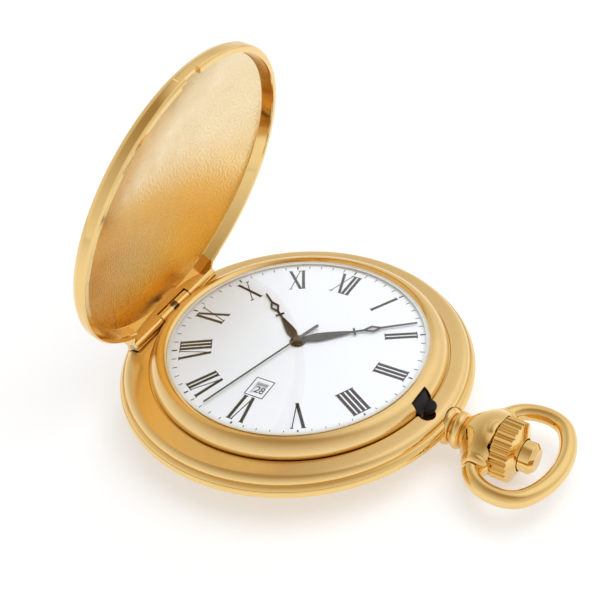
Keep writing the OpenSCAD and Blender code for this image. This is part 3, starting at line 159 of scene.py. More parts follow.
def skinned(rings, place=Matrix(), capped=False, eased=0):
    """A closed solid over rings of points in mm, then set at its place. A ring of one point closes that end.
    Without one the last ring joins the first, or both ends are capped. All its edges can be eased by some mm."""
    bm = bmesh.new()
    hoops = [[bm.verts.new(point) for point in ring] for ring in rings]
    has_ends = capped or any(len(hoop) == 1 for hoop in hoops)
    for a, b in zip(hoops, hoops[1:] if has_ends else hoops[1:] + hoops[:1]):
        count = max(len(a), len(b))
        for k in range(count):
            n = (k + 1) % count
            if len(a) == 1:
                bm.faces.new((a[0], b[n], b[k]))
            elif len(b) == 1:
                bm.faces.new((a[k], a[n], b[0]))
            else:
                bm.faces.new((a[k], a[n], b[n], b[k]))
    if capped:
        bm.faces.new(hoops[0])
        bm.faces.new(hoops[-1])
    bmesh.ops.recalc_face_normals(bm, faces=bm.faces)
    if eased:
        bmesh.ops.bevel(bm, geom=bm.edges[:], offset=eased, segments=2, profile=0.6, affect="EDGES")
    return mesh_from(bm, METRES @ place)


def circle(radius, height, steps):
    """The points of a level ring in mm, or the one point where it is on the axis."""
    if radius < 1e-6:
        return [(0, 0, height)]
    return [(radius * math.cos(2 * math.pi * k / steps), radius * math.sin(2 * math.pi * k / steps), height)
            for k in range(steps)]


def turned(profile, steps, place=Matrix()):
    """A solid turned about Z from a profile of (radius, height) in mm, then set at its place."""
    return skinned([circle(r, z, steps) for r, z in profile], place)


def rod(radius, start, end, steps, place=Matrix(), ease=(0, 0), per=3):
    """A round rod, or the drill for a hole, from start to end along Z, with its two edges eased by some mm."""
    corners = [(0, start, 0), (radius, start, ease[0]), (radius, end, ease[1]), (0, end, 0)]
    return turned(rounded(corners, per), steps, place)


def block(low, high, place=Matrix()):
    """A rectangular block between two corners in mm, used to cut or build up a turned part."""
    bm = bmesh.new()
    bmesh.ops.create_cube(bm, size=1)
    size = [b - a for a, b in zip(low, high)]
    middle = [(a + b) / 2 for a, b in zip(low, high)]
    return mesh_from(bm, METRES @ place @ Matrix.Translation(middle) @ Matrix.Diagonal((*size, 1)))


def in_scene(name, data):
    """A new object in the scene."""
    made = bpy.data.objects.new(name, data)
    bpy.context.scene.collection.objects.link(made)
    return made


def applied(held):
    """The mesh that an object gives once its modifiers are applied. The object itself goes."""
    made = bpy.data.meshes.new_from_object(held.evaluated_get(bpy.context.evaluated_depsgraph_get()))
    bpy.data.objects.remove(held)
    return made


def combine(mesh, steps):
    """Cuts away, adds or keeps the common part of each (operation, mesh) in turn."""
    base = in_scene("work", mesh)
    tools = []
    for operation, other in steps:
        tools.append(in_scene("tool", other))
        job = base.modifiers.new("job", "BOOLEAN")
        job.operation, job.solver, job.object = operation, "MANIFOLD", tools[-1]
    made = applied(base)
    for tool in tools:
        bpy.data.objects.remove(tool)
    return made


def dress(name, mesh, body, slot, *finishes, replaces, sharp=32):
    """Makes a piece from a mesh: its body, its slot, which is not used, the nodes it stands for, and its finishes.
    Each finish after the first is (material, test of a face's middle in mm and its normal)."""
    mesh.name = name
    mesh.materials.clear()
    mesh.materials.append(finishes[0])
    for face in mesh.polygons:
        face.material_index = 0
    for number, (other, test) in enumerate(finishes[1:], 1):
        mesh.materials.append(other)
        for face in mesh.polygons:
            if test(face.center / MM, face.normal):
                face.material_index = number
    mesh.shade_smooth()
    mesh.set_sharp_from_angle(angle=math.radians(sharp))
    piece = in_scene(name, mesh)
    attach(piece, body)
    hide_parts(*replaces)


middle_profile = (
    [(18.6, 2.3), (18.6, 7.5), (20.91, 7.5), (21.6, 7.47), (22.4, 7.42)]    # inside and ledge
    + arc(22.9, 6.25, 1.11, 1.15, 84, 12, 14)                               # shoulder
    + [(24.02, 6.5), (24.06, 6.46), (24.16, 6.47)]                          # first groove
    + arc(23.65, 5.2, 1.1, 1.26, 64, 36, 7)                                 # band between the grooves
    + [(24.5, 5.87), (24.52, 5.84), (24.6, 5.82)]                           # second groove
    + arc(23.65, 5.2, 1.1, 1.1, 32, -8, 10)                                 # rim
    + rounded([(24.74, 5.0, 0), (24.37, 4.79, 0.35), (23.7, 4.34, 0.6), (22.45, 3.37, 0.8), (21.2, 2.5, 0.2),
               (20.9, 2.3, 0)], 5)[1:])                                     # under the rim, down to the back's joint
case_knuckle = combine(rod(KNUCKLE, -CASE_KNUCKLE, CASE_KNUCKLE, 64, HINGE, (0.08, 0.08), 4), [
    ("UNION", block((HINGE_X - KNUCKLE, -CASE_KNUCKLE, 6.32), (HINGE_X + KNUCKLE, CASE_KNUCKLE, HINGE_Z))),
    ("INTERSECT", block((-24.25, -10, 0), (-20.25, 10, 20)))])
hollow = turned([(0, 6.75), (0.42, 6.76), (0.7, 6.84), (0.95, 7.0), (1.12, 7.25), (1.14, 9.3), (0, 9.3)], 64,
                Matrix.Rotation(math.radians(HOLLOW_TURN), 4, "Z") @ Matrix.Translation((HOLLOW_X, 0, 0)))
case_mesh = combine(turned(middle_profile, 360, OUTER), [
    ("UNION", rod(20.9, 2.3, 3.1, 360, ease=(0.05, 0))),             # the joint with the back, centred on the dial
    ("UNION", rod(20.1, 2.8, 8.25, 360, ease=(0, 0.05))),            # the upstand that carries the bezel
    ("DIFFERENCE", rod(19.4, -1, 12, 360)),                          # the bore for the movement
    ("DIFFERENCE", turned([(20.1, 7.38), (20.77, 7.38), (20.8, 7.44), (20.95, 7.56), (20.95, 12), (20.1, 12)],
                          360)),                                     # the groove round the upstand
    ("DIFFERENCE", rod(KNUCKLE_ROOM, -10, 10, 48, HINGE)),           # room for the knuckles, open upwards
    ("DIFFERENCE", block((HINGE_X - KNUCKLE_ROOM, -10, HINGE_Z), (HINGE_X + KNUCKLE_ROOM, 10, 12))),
    ("UNION", case_knuckle),
    ("DIFFERENCE", rod(0.42, -PIN_HOLE, PIN_HOLE, 48, HINGE)),       # the pin's hole
    ("DIFFERENCE", block((-21.76, -0.65, 6.57), (-18.36, 0.65, 9.57))),              # the lift spring's slot
    ("DIFFERENCE", block((18.65, -3.1, 1.3), (20.6, 0.35, 13.3), PENDANT)),          # room for the catch
    ("DIFFERENCE", rod(1.87, 18.4, 28.4, 96, LINE)),                 # the hole that the neck is pressed into
    ("DIFFERENCE", rod(2.63, 22.6, 32.4, 96, LINE, ease=(0.1, 0))),  # the seat of the neck's first bead
    ("DIFFERENCE", hollow),
])


def on_shoulder(at, way):
    """True on the ledge and the shoulder round the bezel."""
    return way.z > 0.5 and 6.6 < at.z < 7.6 and at.xy.length > 20.85


dress("case_middle_ring", case_mesh, "case", "gold_polished", polished_gold, (satin_gold, on_shoulder),
      replaces=["case_middle"])

# ---------------------------------------------------------------- case back
# The pressed-on back: a thin gold-plated dome with a flat middle that the watch lies on, polished, with a nick
# for a case knife.
FLAT_R, BACK_RUN, BACK_RISE = 11.4, 9.5, 2.28    # the flat's radius, and the dome's width and height round it
BACK_THICK = 0.8
back_outside = [(FLAT_R + BACK_RUN * u, BACK_RISE * (0.03 * u + 0.97 * u * u)) for u in [i / 24 for i in range(1, 25)]]
back_inside = [(FLAT_R + 7.3 * u, BACK_THICK + 0.9 * u * u) for u in [i / 8 for i in range(8, -1, -1)]]
back_profile = ([(0, 0), (FLAT_R, 0)] + back_outside + [(19.38, 2.28), (19.38, 3.1), (18.7, 3.1)]
                + back_inside + [(0, BACK_THICK)])
nick = block((20.65, -1.6, 2.0), (21.65, 1.6, 3.0), Matrix.Rotation(math.radians(150), 4, "Z"))
dress("case_back_cover", combine(turned(back_profile, 288), [("DIFFERENCE", nick)]), "case", "gold_polished",
      polished_gold, replaces=["case_back"])

# ---------------------------------------------------------------- bezel
# The ring that holds the crystal, pressed over the case middle's upstand: a polished slope down to the crystal,
# a crisp top edge, and a satin outside that falls in one smooth curve to its foot.
FOOT_R, FOOT_Z = 20.57, 7.75             # where the outside curve starts
SLOPE_RUN, SLOPE_RISE = 1.89, 1.92
slope = [(FOOT_R - SLOPE_RUN * (1 - math.cos(t)) ** 0.88, FOOT_Z + SLOPE_RISE * math.sin(t) ** 1.06)
         for t in [math.radians(3 * k) for k in range(1, 30)]]
bezel_profile = (
    [(20.12, 7.52), (20.55, 7.52), (20.57, 7.54), (FOOT_R, FOOT_Z)] + slope
    + rounded([(18.8, 9.64, 0), (18.66, 9.7, 0.04), (18.1, 9.39, 0.04), (18.1, 9.05, 0)], 4)[1:]    # crystal's side
    + [(17.85, 9.05), (17.85, 8.71), (18.45, 8.71), (18.45, 8.41), (20.12, 8.41)])
bezel_mesh = combine(turned(bezel_profile, 360), [
    ("DIFFERENCE", block((-23.15, -9.8, 0), (-20.15, 9.8, 9.0))),                   # the flat along the hinge
    ("DIFFERENCE", block((18.8, -3.07, 0), (21.8, 0.32, 9.0), PENDANT)),            # room for the catch to move in
    ("DIFFERENCE", block((19.6, -3.07, 0), (22.6, 0.32, 12.0), PENDANT)),           # and the notch over its front
])


def on_slope(at, way):
    """True on the outside of the bezel."""
    return at.z > 7.7 and at.xy.length > 18.74


dress("bezel_ring", bezel_mesh, "case", "gold_polished", polished_gold, (satin_gold, on_slope), replaces=["bezel"])

# ---------------------------------------------------------------- crystal and its gasket
# A low domed mineral-glass crystal of even thickness in a thin plastic ring. It is clear, so the dial shows
# through it. Its ground edge is let down inside the bezel's lip.
GLASS_R, GLASS_EDGE = 18.0, 18.05
UNDER_TOP, UNDER_SAG = 10.02, 0.9        # the underside: height of its middle, and its fall to the edge
OVER_TOP, OVER_SAG = 10.6, 1.22          # the upper side


def ball_radius(reach, sag):
    """Radius of the ball that a dome is cut from, by how far the dome reaches and how far it falls there."""
    return (reach ** 2 + sag ** 2) / (2 * sag)


def dome_height(r, top, sag):
    """Height of a crystal's domed face at a radius."""
    ball = ball_radius(GLASS_R, sag)
    return top - ball + math.sqrt(ball ** 2 - r ** 2)


radii = [17.97 * (1 - i / 40) for i in range(41)]
crystal_profile = ([(r, dome_height(r, UNDER_TOP, UNDER_SAG)) for r in reversed(radii)]
                   + [(GLASS_EDGE, 9.15), (GLASS_EDGE, 9.34)]
                   + [(r, dome_height(r, OVER_TOP, OVER_SAG)) for r in radii])
# Mineral glass: clear, with faint wipe marks about 3 mm apart that only show in a highlight
glass, tree = material("crystal_mineral_glass")
place = add(tree, "TexCoord").outputs["Object"]
smear = add(tree, "TexNoise", {"Vector": place, "Scale": 1 / (3 * MM), "Detail": 4.0})
gloss = add(tree, "MapRange", {"Value": smear.outputs["Fac"], "To Min": 0.0, "To Max": 0.03})
clear = add(tree, "BsdfPrincipled", {"Base Color": linear("fdfeff"), "Roughness": gloss.outputs[0], "IOR": 1.5,
                                     "Specular IOR Level": 0.16, "Transmission Weight": 1.0})
# Light passes straight down to the dial, so the glass casts no shadow on it
straight = add(tree, "BsdfTransparent", {"Color": linear("fbfcfc")})
shadow = add(tree, "LightPath").outputs["Is Shadow Ray"]
blend = add(tree, "MixShader", {0: shadow, 1: clear.outputs[0], 2: straight.outputs[0]})
add(tree, "OutputMaterial", {"Surface": blend.outputs[0]})
# The ground edge of the glass is frosted white
ground_edge, tree = material("crystal_ground_edge")
place = add(tree, "TexCoord").outputs["Object"]
frost = add(tree, "TexNoise", {"Vector": place, "Scale": 1 / (0.1 * MM), "Detail": 2.0})
tone = add(tree, "Mix", {FACTOR: frost.outputs["Fac"], COLOUR_A: linear("f6f6f4"), COLOUR_B: linear("eeeeea")},
           data_type="RGBA")
skin = add(tree, "BsdfPrincipled", {"Base Color": tone.outputs[BLENDED], "Roughness": 0.7})
add(tree, "OutputMaterial", {"Surface": skin.outputs[0]})


def on_glass_edge(at, way):
    """True on the crystal's edge."""
    return at.xy.length > 17.6 and way.z < 0.3


dress("crystal_glass_dome", turned(crystal_profile, 256), "case", "crystal_glass", glass,
      (ground_edge, on_glass_edge), replaces=["crystal"])

# ---------------------------------------------------------------- plastic and rubber rings
# The moulded ring round the movement, the crystal's gasket and the date's driving wheel are plastic. The gaskets
# of the back and the crown are rubber, pressed into their grooves.


def moulded(name, light, dark, rough, grain_mm, depth, spec=0.5):
    """A moulded or coated surface: two near tones in clouds, and a fine grain."""
    cloud_mm = 2.2
    made, tree = material(name)
    place = add(tree, "TexCoord").outputs["Object"]
    cloud = add(tree, "TexNoise", {"Vector": place, "Scale": 1 / (cloud_mm * MM), "Detail": 4.0})
    tone = add(tree, "Mix", {FACTOR: cloud.outputs["Fac"], COLOUR_A: linear(light), COLOUR_B: linear(dark)},
               data_type="RGBA")
    sheen = add(tree, "MapRange", {"Value": cloud.outputs["Fac"], "To Min": rough * 0.85, "To Max": rough * 1.15})
    grain = add(tree, "TexNoise", {"Vector": place, "Scale": 1 / (grain_mm * MM), "Detail": 3.0})
    bump = add(tree, "Bump", {"Height": grain.outputs["Fac"], "Strength": depth, "Distance": GRAIN_HEIGHT * MM})
    skin = add(tree, "BsdfPrincipled", {"Base Color": tone.outputs[BLENDED], "Roughness": sheen.outputs[0],
                                        "Specular IOR Level": spec, "Normal": bump.outputs[0]})
    add(tree, "OutputMaterial", {"Surface": skin.outputs[0]})
    return made


def finish(names, finish_material):
    """Gives CAD nodes a finish."""
    for name in names:
        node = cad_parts[name]
        if not node.material_slots:
            node.data.materials.append(finish_material)
        for slot in node.material_slots:
            slot.material = finish_material


# Natural ABS: pale, waxy, with a faint mould grain
finish(["movement_ring", "crystal_gasket", "date_drive_wheel"],
       moulded("abs_natural_moulded", "e9e7df", "dcd9ce", 0.42, 0.12, 0.2))
# Nitrile rubber: near black and matt
finish(["back_gasket", "crown_gasket"], moulded("nitrile_rubber", "24242a", "17171a", 0.62, 0.08, 0.4, 0.3))

# ---------------------------------------------------------------- dial
# A brass disc in white lacquer, faintly cool, with the hours, the minute track and the date frame printed in
# black. The date ring that turns under it is white too.
dial_white = moulded("dial_white_lacquer", "eff3fc", "ebf0f9", 0.35, 0.05, 0.05, 0.25)
finish(["dial", "date_ring"], dial_white)
# Pad-printed black ink, slightly uneven in its gloss
ink = moulded("printing_ink_black", "0e0e12", "08080b", 0.6, 0.06, 0.15, 0.15)
finish(["hour_numerals", "minute_track", "date_frame"], ink)

# ---------------------------------------------------------------- date figures
# One printed number for each day round the date ring. The one under the window is the day shown.
DAYS, DAY_SHOWN = 31, 28
FIGURE_HEIGHT, FIGURE_DEPTH = 1.75, 0.03
FIGURE_PLACE = (-0.12, -9.95, 8.11)      # of the day shown, under the window
FIGURE_SHAPE = (0.86, 0.96, 1, 1)        # the print is narrower than the plain letters
figures = bmesh.new()
for day in range(1, DAYS + 1):
    curve = bpy.data.curves.new("day", "FONT")
    curve.body, curve.size, curve.space_character = str(day), FIGURE_HEIGHT * MM, 0.95
    curve.align_x, curve.align_y = "CENTER", "CENTER"
    curve.extrude = FIGURE_DEPTH * MM
    shape = applied(in_scene("day", curve))
    shape.transform(Matrix.Rotation(math.radians((day - DAY_SHOWN) * 360 / DAYS), 4, "Z")
                    @ Matrix.Translation([c * MM for c in FIGURE_PLACE]) @ Matrix.Diagonal(FIGURE_SHAPE))
    figures.from_mesh(shape)
dress("date_figures", mesh_from(figures, Matrix()), "date_ring", "black_ink", ink, replaces=["date_numbers"])

# ---------------------------------------------------------------- hands
# Stamped steel hands in black lacquer: leaf shapes with a cross-bar and an open lozenge. The thin second hand is a
# dark grey.
lacquer = moulded("hand_black_lacquer", "0f0f12", "08080a", 0.25, 0.1, 0.08, 0.3)
finish(["hour_hand", "minute_hand"], lacquer)
finish(["second_hand"], moulded("second_hand_grey_lacquer", "3a3b3e", "2b2c2f", 0.25, 0.1, 0.08, 0.5))

# ---------------------------------------------------------------- lid
# The hunter lid: a spun gold-plated cover with a polished rim and outside. Its dished inside is covered with
# overlapping circles from a small brush wheel. A straight block along the hinge carries the two outer knuckles.
LID_ANGLE = 72.8                         # degrees from shut to the rest, where the lid stands open
LID_Y, GAP_Y = 9.8, 3.42                 # half the hinge block's length, and half the gap for the case's knuckle
DOME_R = 20.4
OUTSIDE_TOP, OUTSIDE_SAG = 13.77, 3.92   # the dome's outside: height of its middle with the lid shut, and its fall
INSIDE_TOP, INSIDE_SAG = 13.15, 3.8


def lid_dome(edge, top, sag):
    """Points of the lid's domed profile from an edge radius up to the middle."""
    ball = ball_radius(DOME_R, sag)
    turns = [math.asin(edge / ball) * (1 - i / 40) for i in range(40)]
    return [(ball * math.sin(t), top - ball + ball * math.cos(t)) for t in turns] + [(0, top)]


# The lid is drawn shut, then turned open about the hinge pin
OPENED = (Matrix.Translation((HINGE_X, 0, HINGE_Z)) @ Matrix.Rotation(math.radians(-LID_ANGLE), 4, "Y")
          @ Matrix.Translation((-HINGE_X, 0, -HINGE_Z)))
lid_back = OPENED.inverted()
lid_outside = rounded([(0, 7.65, 0), (21.5, 7.65, 0.1), (21.77, 7.92, 0.2), (21.77, 8.95, 0.5), (21.4, 9.62, 0.5),
                       (20.4, 9.87, 0)], 6)[:-1] + lid_dome(DOME_R, OUTSIDE_TOP, OUTSIDE_SAG)
lid_inside = ([(0, 4.65), (20.85, 4.65), (20.85, 7.6)]
              + rounded([(20.85, 7.6, 0), (20.75, 7.85, 0.1), (20.4, 9.35, 0.12), (19.6, 9.6, 0)], 4)[1:-1]
              + lid_dome(20.3, INSIDE_TOP, INSIDE_SAG))
block_outline = [(-21.51, 7.65), (-21.51, 9.3), (-21.42, 9.47), (-21.26, 9.58), (-20.91, 9.7), (-18.31, 9.72),
                 (-18.31, 7.65)]
lid_mesh = combine(turned(lid_outside, 360), [
    ("UNION", skinned([[(x, y, z) for x, z in block_outline] for y in (-LID_Y, LID_Y)], capped=True)),
    ("UNION", rod(KNUCKLE, GAP_Y, LID_Y, 64, HINGE, (0.08, 0.08), 4)),               # the two outer knuckles
    ("UNION", rod(KNUCKLE, -LID_Y, -GAP_Y, 64, HINGE, (0.08, 0.08), 4)),
    ("DIFFERENCE", combine(turned(lid_inside, 360), [                                # the dish, up to the block
        ("INTERSECT", block((-20.3, -30, 0), (40, 30, 30)))])),
    ("DIFFERENCE", block((-20.3, -9.3, 4.65), (-16.3, 9.3, 9.35))),                  # the block's hollow underside
    ("DIFFERENCE", rod(KNUCKLE_ROOM, -GAP_Y, GAP_Y, 64, HINGE)),                     # room for the case's knuckle
    ("DIFFERENCE", block((-23.41, -GAP_Y, 6.65), (-20.11, GAP_Y, HINGE_Z))),
    ("DIFFERENCE", block((HINGE_X, -GAP_Y, 6.65), (-20.11, GAP_Y, 8.52))),
    ("DIFFERENCE", rod(0.44, -PIN_HOLE, PIN_HOLE, 48, HINGE)),                       # the pin's hole
    ("DIFFERENCE", block((19.4, -3.25, 8.2), (21.55, 0.5, 9.0), PENDANT)),           # notches for the catch's nose
    ("DIFFERENCE", block((19.4, -3.25, 7.0), (21.15, 0.5, 8.6), PENDANT)),
    ("DIFFERENCE", block((19.4, -2.3, 7.0), (22.15, 0.4, 8.05), PENDANT)),
])
lid_mesh.transform(METRES @ OPENED @ Matrix.Scale(1 / MM, 4))

# Gold plate dressed with a brush wheel: rings about 2.6 mm across that overlap, with a mottled wash of tone and a
# painted reflection of the gold case low down
RING_MM, RING_SCATTER = 2.6, 0.45        # a ring's width, and how irregularly the rings stand
SHAKE_MM, SHAKE_RUN = 0.4, 3.5           # how far the rings are pushed out of round, and over what distance
ARC_TURNS = 26.0                         # the higher this is, the more arcs each ring has
WASH_MM, SPECK_MM = 6, 1.1               # the widths of the wash's clouds and of the painted brown reflection's patches
brushed, tree = material("gold_plate_circle_brushed")
place = add(tree, "TexCoord").outputs["Object"]
flat = add(tree, "Mapping", {"Vector": place, "Rotation": (0, math.radians(LID_ANGLE), 0)})
# The rings lie in the lid's plane, shaken a little off a regular grid
warp = add(tree, "TexNoise", {"Vector": flat.outputs[0], "Scale": 1 / (SHAKE_RUN * MM), "Detail": 2.0})
shake = add(tree, "VectorMath", {0: warp.outputs["Color"], 1: (SHAKE_MM * MM, SHAKE_MM * MM, 0)}, operation="MULTIPLY")
moved = add(tree, "VectorMath", {0: flat.outputs[0], 1: shake.outputs[0]}, operation="ADD")
level = add(tree, "VectorMath", {0: moved.outputs[0], 1: (1, 1, 0)}, operation="MULTIPLY")
cells = add(tree, "TexVoronoi", {"Vector": level.outputs[0], "Scale": 1 / (RING_MM * MM), "Randomness": RING_SCATTER},
            voronoi_dimensions="2D")
rings = add(tree, "Math", {0: cells.outputs["Distance"], 1: ARC_TURNS}, operation="MULTIPLY")
wave = add(tree, "Math", {0: rings.outputs[0]}, operation="SINE")
edge = add(tree, "TexVoronoi", {"Vector": level.outputs[0], "Scale": 1 / (RING_MM * MM), "Randomness": RING_SCATTER},
           voronoi_dimensions="2D", feature="DISTANCE_TO_EDGE")
lip = add(tree, "MapRange", {"Value": edge.outputs["Distance"], "From Min": 0.0, "From Max": 0.06,
                             "To Min": 1.0, "To Max": 0.0})
cloud = add(tree, "TexNoise", {"Vector": flat.outputs[0], "Scale": 1 / (WASH_MM * MM), "Detail": 5.0,
                               "Roughness": 0.65})
pale = add(tree, "Mix", {FACTOR: cloud.outputs["Fac"], COLOUR_A: linear("f3e2bd"), COLOUR_B: linear("efd9ab")},
           data_type="RGBA")
deep = add(tree, "Mix", {FACTOR: cloud.outputs["Fac"], COLOUR_A: linear("f6d378"), COLOUR_B: linear("ecba5a")},
           data_type="RGBA")
# Painted reflection: the gold is deeper low down toward the hinge, where the dish mirrors the gold case
run = add(tree, "SeparateXYZ", {0: place})
painted_case_reflection = add(tree, "MapRange", {"Value": run.outputs[2], "From Min": 12 * MM, "From Max": 34 * MM,
                                    "To Min": 1.0, "To Max": 0.0}, interpolation_type="SMOOTHSTEP")
tone = add(tree, "Mix", {FACTOR: painted_case_reflection.outputs[0], COLOUR_A: pale.outputs[BLENDED],
                         COLOUR_B: deep.outputs[BLENDED]}, data_type="RGBA")
# Each brush ring leaves a fine darker arc
arcs = add(tree, "MapRange", {"Value": wave.outputs[0], "From Min": 0.86, "From Max": 1.0,
                              "To Min": 0.0, "To Max": 0.3})
tone = add(tree, "Mix", {FACTOR: arcs.outputs[0], COLOUR_A: tone.outputs[BLENDED], COLOUR_B: linear("c08a3c")},
           data_type="RGBA")
# Painted reflection: the near corner by the hinge is mottled brown, where the dish mirrors the case's shoulder
speck = add(tree, "TexNoise", {"Vector": flat.outputs[0], "Scale": 1 / (SPECK_MM * MM), "Detail": 5.0,
                               "Roughness": 0.7})
speck = add(tree, "MapRange", {"Value": speck.outputs["Fac"], "From Min": 0.5, "From Max": 0.66,
                               "To Min": 0.0, "To Max": 1.0})
low = add(tree, "MapRange", {"Value": run.outputs[2], "From Min": 9 * MM, "From Max": 20 * MM,
                             "To Min": 1.0, "To Max": 0.0}, interpolation_type="SMOOTHSTEP")
side_on = add(tree, "MapRange", {"Value": run.outputs[1], "From Min": -13 * MM, "From Max": 2 * MM,
                                 "To Min": 1.0, "To Max": 0.0}, interpolation_type="SMOOTHSTEP")
corner = add(tree, "Math", {0: low.outputs[0], 1: side_on.outputs[0]}, operation="MULTIPLY")
painted_mottle = add(tree, "Math", {0: corner.outputs[0], 1: speck.outputs[0]}, operation="MULTIPLY")
tone = add(tree, "Mix", {FACTOR: painted_mottle.outputs[0], COLOUR_A: tone.outputs[BLENDED], COLOUR_B: linear("8c5a20")},
           data_type="RGBA")
# The gloss follows the wash, and the rings stand up as fine ridges with a lip where two meet
rough = add(tree, "MapRange", {"Value": cloud.outputs["Fac"], "From Min": NOISE_LOW, "From Max": NOISE_HIGH,
                               "To Min": 0.16, "To Max": 0.28})
ridge = add(tree, "Math", {0: lip.outputs[0], 1: 0.15}, operation="MULTIPLY")
tops = add(tree, "Math", {0: wave.outputs[0], 1: 0.5, 2: ridge.outputs[0]}, operation="MULTIPLY_ADD")
bump = add(tree, "Bump", {"Height": tops.outputs[0], "Strength": 0.2, "Distance": 0.03 * MM})
skin = add(tree, "BsdfPrincipled", {"Base Color": tone.outputs[BLENDED], "Metallic": 1.0,
                                    "Roughness": rough.outputs[0], "Normal": bump.outputs[0]})
add(tree, "OutputMaterial", {"Surface": skin.outputs[0]})


def in_dish(at, way):
    """True on the dished inside of the lid."""
    flat_at = lid_back @ at
    flat_way = lid_back.to_3x3() @ way
    return flat_way.z < -0.85 and flat_at.z > 9.3 and flat_at.xy.length < 20.4


def on_block(at, way):
    """True on the flat face of the block along the hinge."""
    return (lid_back.to_3x3() @ way).z < -0.85 and (lid_back @ at).x < -18.2


dress("front_lid_shell", lid_mesh, "lid", "gold_polished", polished_gold, (brushed, in_dish), (satin_gold, on_block),
      replaces=["front_lid"])

# ---------------------------------------------------------------- pendant
# The gold-plated neck with two turned beads, flaring into a head whose two ears hold the ends of the bow. It
# ends in a shallow cup behind the crown.
NECK_R, BEAD_R = 1.85, 0.72
EAR_X, EAR_Y = 29.2, 5.2                 # the bow's axis along the pendant line, and half the ears' width
# The head widens from the neck to the two ears: (distance out, half width, half height) of its oval sections
HEAD_SECTIONS = [(25.7, 2.1, 2.1), (26.1, 2.55, 2.4), (26.6, 3.25, 2.7), (27.1, 3.9, 2.9), (27.6, 4.45, 3.05),
                 (28.1, 4.85, 3.15), (28.6, 5.05, 3.2), (29.1, 5.12, 3.2), (29.6, 5.08, 3.2), (30.1, 4.85, 3.15),
                 (30.7, 4.3, 3.0)]
EARS = PENDANT @ Matrix.Translation((EAR_X, 0, LINE_HEIGHT)) @ Matrix.Rotation(math.radians(90), 4, "X")


def fuller(part):
    """A sine or cosine drawn outwards, which makes an oval slightly square."""
    return math.copysign(abs(part) ** 0.92, part)


def oval(x, wide, high):
    """The points of one of the head's sections."""
    turns = [2 * math.pi * (k + 0.5) / 96 for k in range(96)]
    return [(x, wide * fuller(math.cos(a)), LINE_HEIGHT + high * fuller(math.sin(a))) for a in turns]


def bead(at):
    """A turned bead on the neck, at a distance out."""
    profile = [(0.0, at - BEAD_R)] + arc(1.83, at, BEAD_R, BEAD_R, -90, 90, 24) + [(0.0, at + BEAD_R)]
    return turned(profile, 160, LINE)


cup_profile = rounded([(0, 28.4, 0), (2.9, 28.4, 0.5), (3.38, 29.4, 0.4), (3.36, 30.15, 0.15), (0, 30.15, 0)], 5)
head_mesh = combine(skinned([oval(*section) for section in HEAD_SECTIONS], PENDANT, capped=True), [
    ("UNION", rod(1.9, -EAR_Y, EAR_Y, 96, EARS, (0.95, 0.95), 8)),
    ("UNION", turned(cup_profile, 192, LINE))])
# The head is one casting, so its joints are melted together before the neck is added
head = in_scene("work", head_mesh)
melt = head.modifiers.new("melt", "REMESH")
melt.mode, melt.voxel_size = "VOXEL", 0.075 * MM
soften = head.modifiers.new("soften", "SMOOTH")
soften.factor, soften.iterations = 0.5, 30
pendant_mesh = combine(applied(head), [
    ("UNION", rod(NECK_R, 20.7, 26.2, 128, LINE)),
    ("UNION", bead(23.4)),
    ("UNION", bead(25.0)),
    ("DIFFERENCE", rod(1.2, 18.4, 40, 96, LINE)),                    # the bore for the button's sleeve
    ("DIFFERENCE", rod(2.07, 26.4, 40, 96, LINE)),                   # the bore for the crown's tube
    ("DIFFERENCE", rod(2.95, 29.25, 40, 128, LINE)),                 # the cup's hollow
    ("DIFFERENCE", rod(4.0, 30.15, 40, 128, LINE)),                  # the cup's end, cut flat
    ("DIFFERENCE", rod(0.66, 3.5, 8.6, 64, EARS)),                   # the holes for the bow's two pegs
    ("DIFFERENCE", rod(0.66, -8.6, -3.5, 64, EARS)),
])
dress("pendant_casting", pendant_mesh, "case", "gold_polished", polished_gold, replaces=["pendant"], sharp=38)

# ---------------------------------------------------------------- bow
# The chain bow: round gold-plated wire bent to an oval, with a round shoulder and a thin peg at each end. The
# pegs turn in the ears.
WIRE_R, PEG_R, SHOULDER_R = 1.12, 0.62, 1.16
SWELL, NARROWING = 0.5, 0.035            # how far the bend bulges outward, and by what share it draws in sideways
side = arc(33.0, 3.78, 4.2, 4.2, 37.96, 155, 56)
tip = arc(28.155, 0, 10.345, 10.345, -37.96 + 2, 37.96 - 2, 36)
path = [(x, -y) for x, y in reversed(side)] + tip + side
bulge = [math.sin(math.pi * min(max((x - 29.19) / 9.4, 0), 1)) for x, y in path]
path = [(x + 0.04 + SWELL * b, y * (1 - NARROWING * b)) for (x, y), b in zip(path, bulge)]


def wire_ring(i):
    """The points of the wire's outline at a point of its path."""
    ahead = Vector(path[min(i + 1, len(path) - 1)]) - Vector(path[max(i - 1, 0)])
    ahead.normalize()
    out_way = Vector((ahead.y, -ahead.x, 0))
    return [Vector((*path[i], LINE_HEIGHT)) + WIRE_R * (math.cos(a) * out_way + math.sin(a) * Vector((0, 0, 1)))
            for a in [2 * math.pi * k / 48 for k in range(48)]]


bow_mesh = combine(skinned([wire_ring(i) for i in range(len(path))], PENDANT, capped=True), [
    ("UNION", rod(PEG_R, 3.6, 5.6, 48, EARS, ease=(0.1, 0))),
    ("UNION", rod(PEG_R, -5.6, -3.6, 48, EARS, ease=(0, 0.1))),
    ("UNION", rod(SHOULDER_R, 5.28, 5.75, 64, EARS, ease=(0.08, 0.1))),
    ("UNION", rod(SHOULDER_R, -5.75, -5.28, 64, EARS, ease=(0.1, 0.08))),
])
dress("bow_loop", bow_mesh, "bow", "gold_polished", polished_gold, replaces=["bow"], sharp=40)

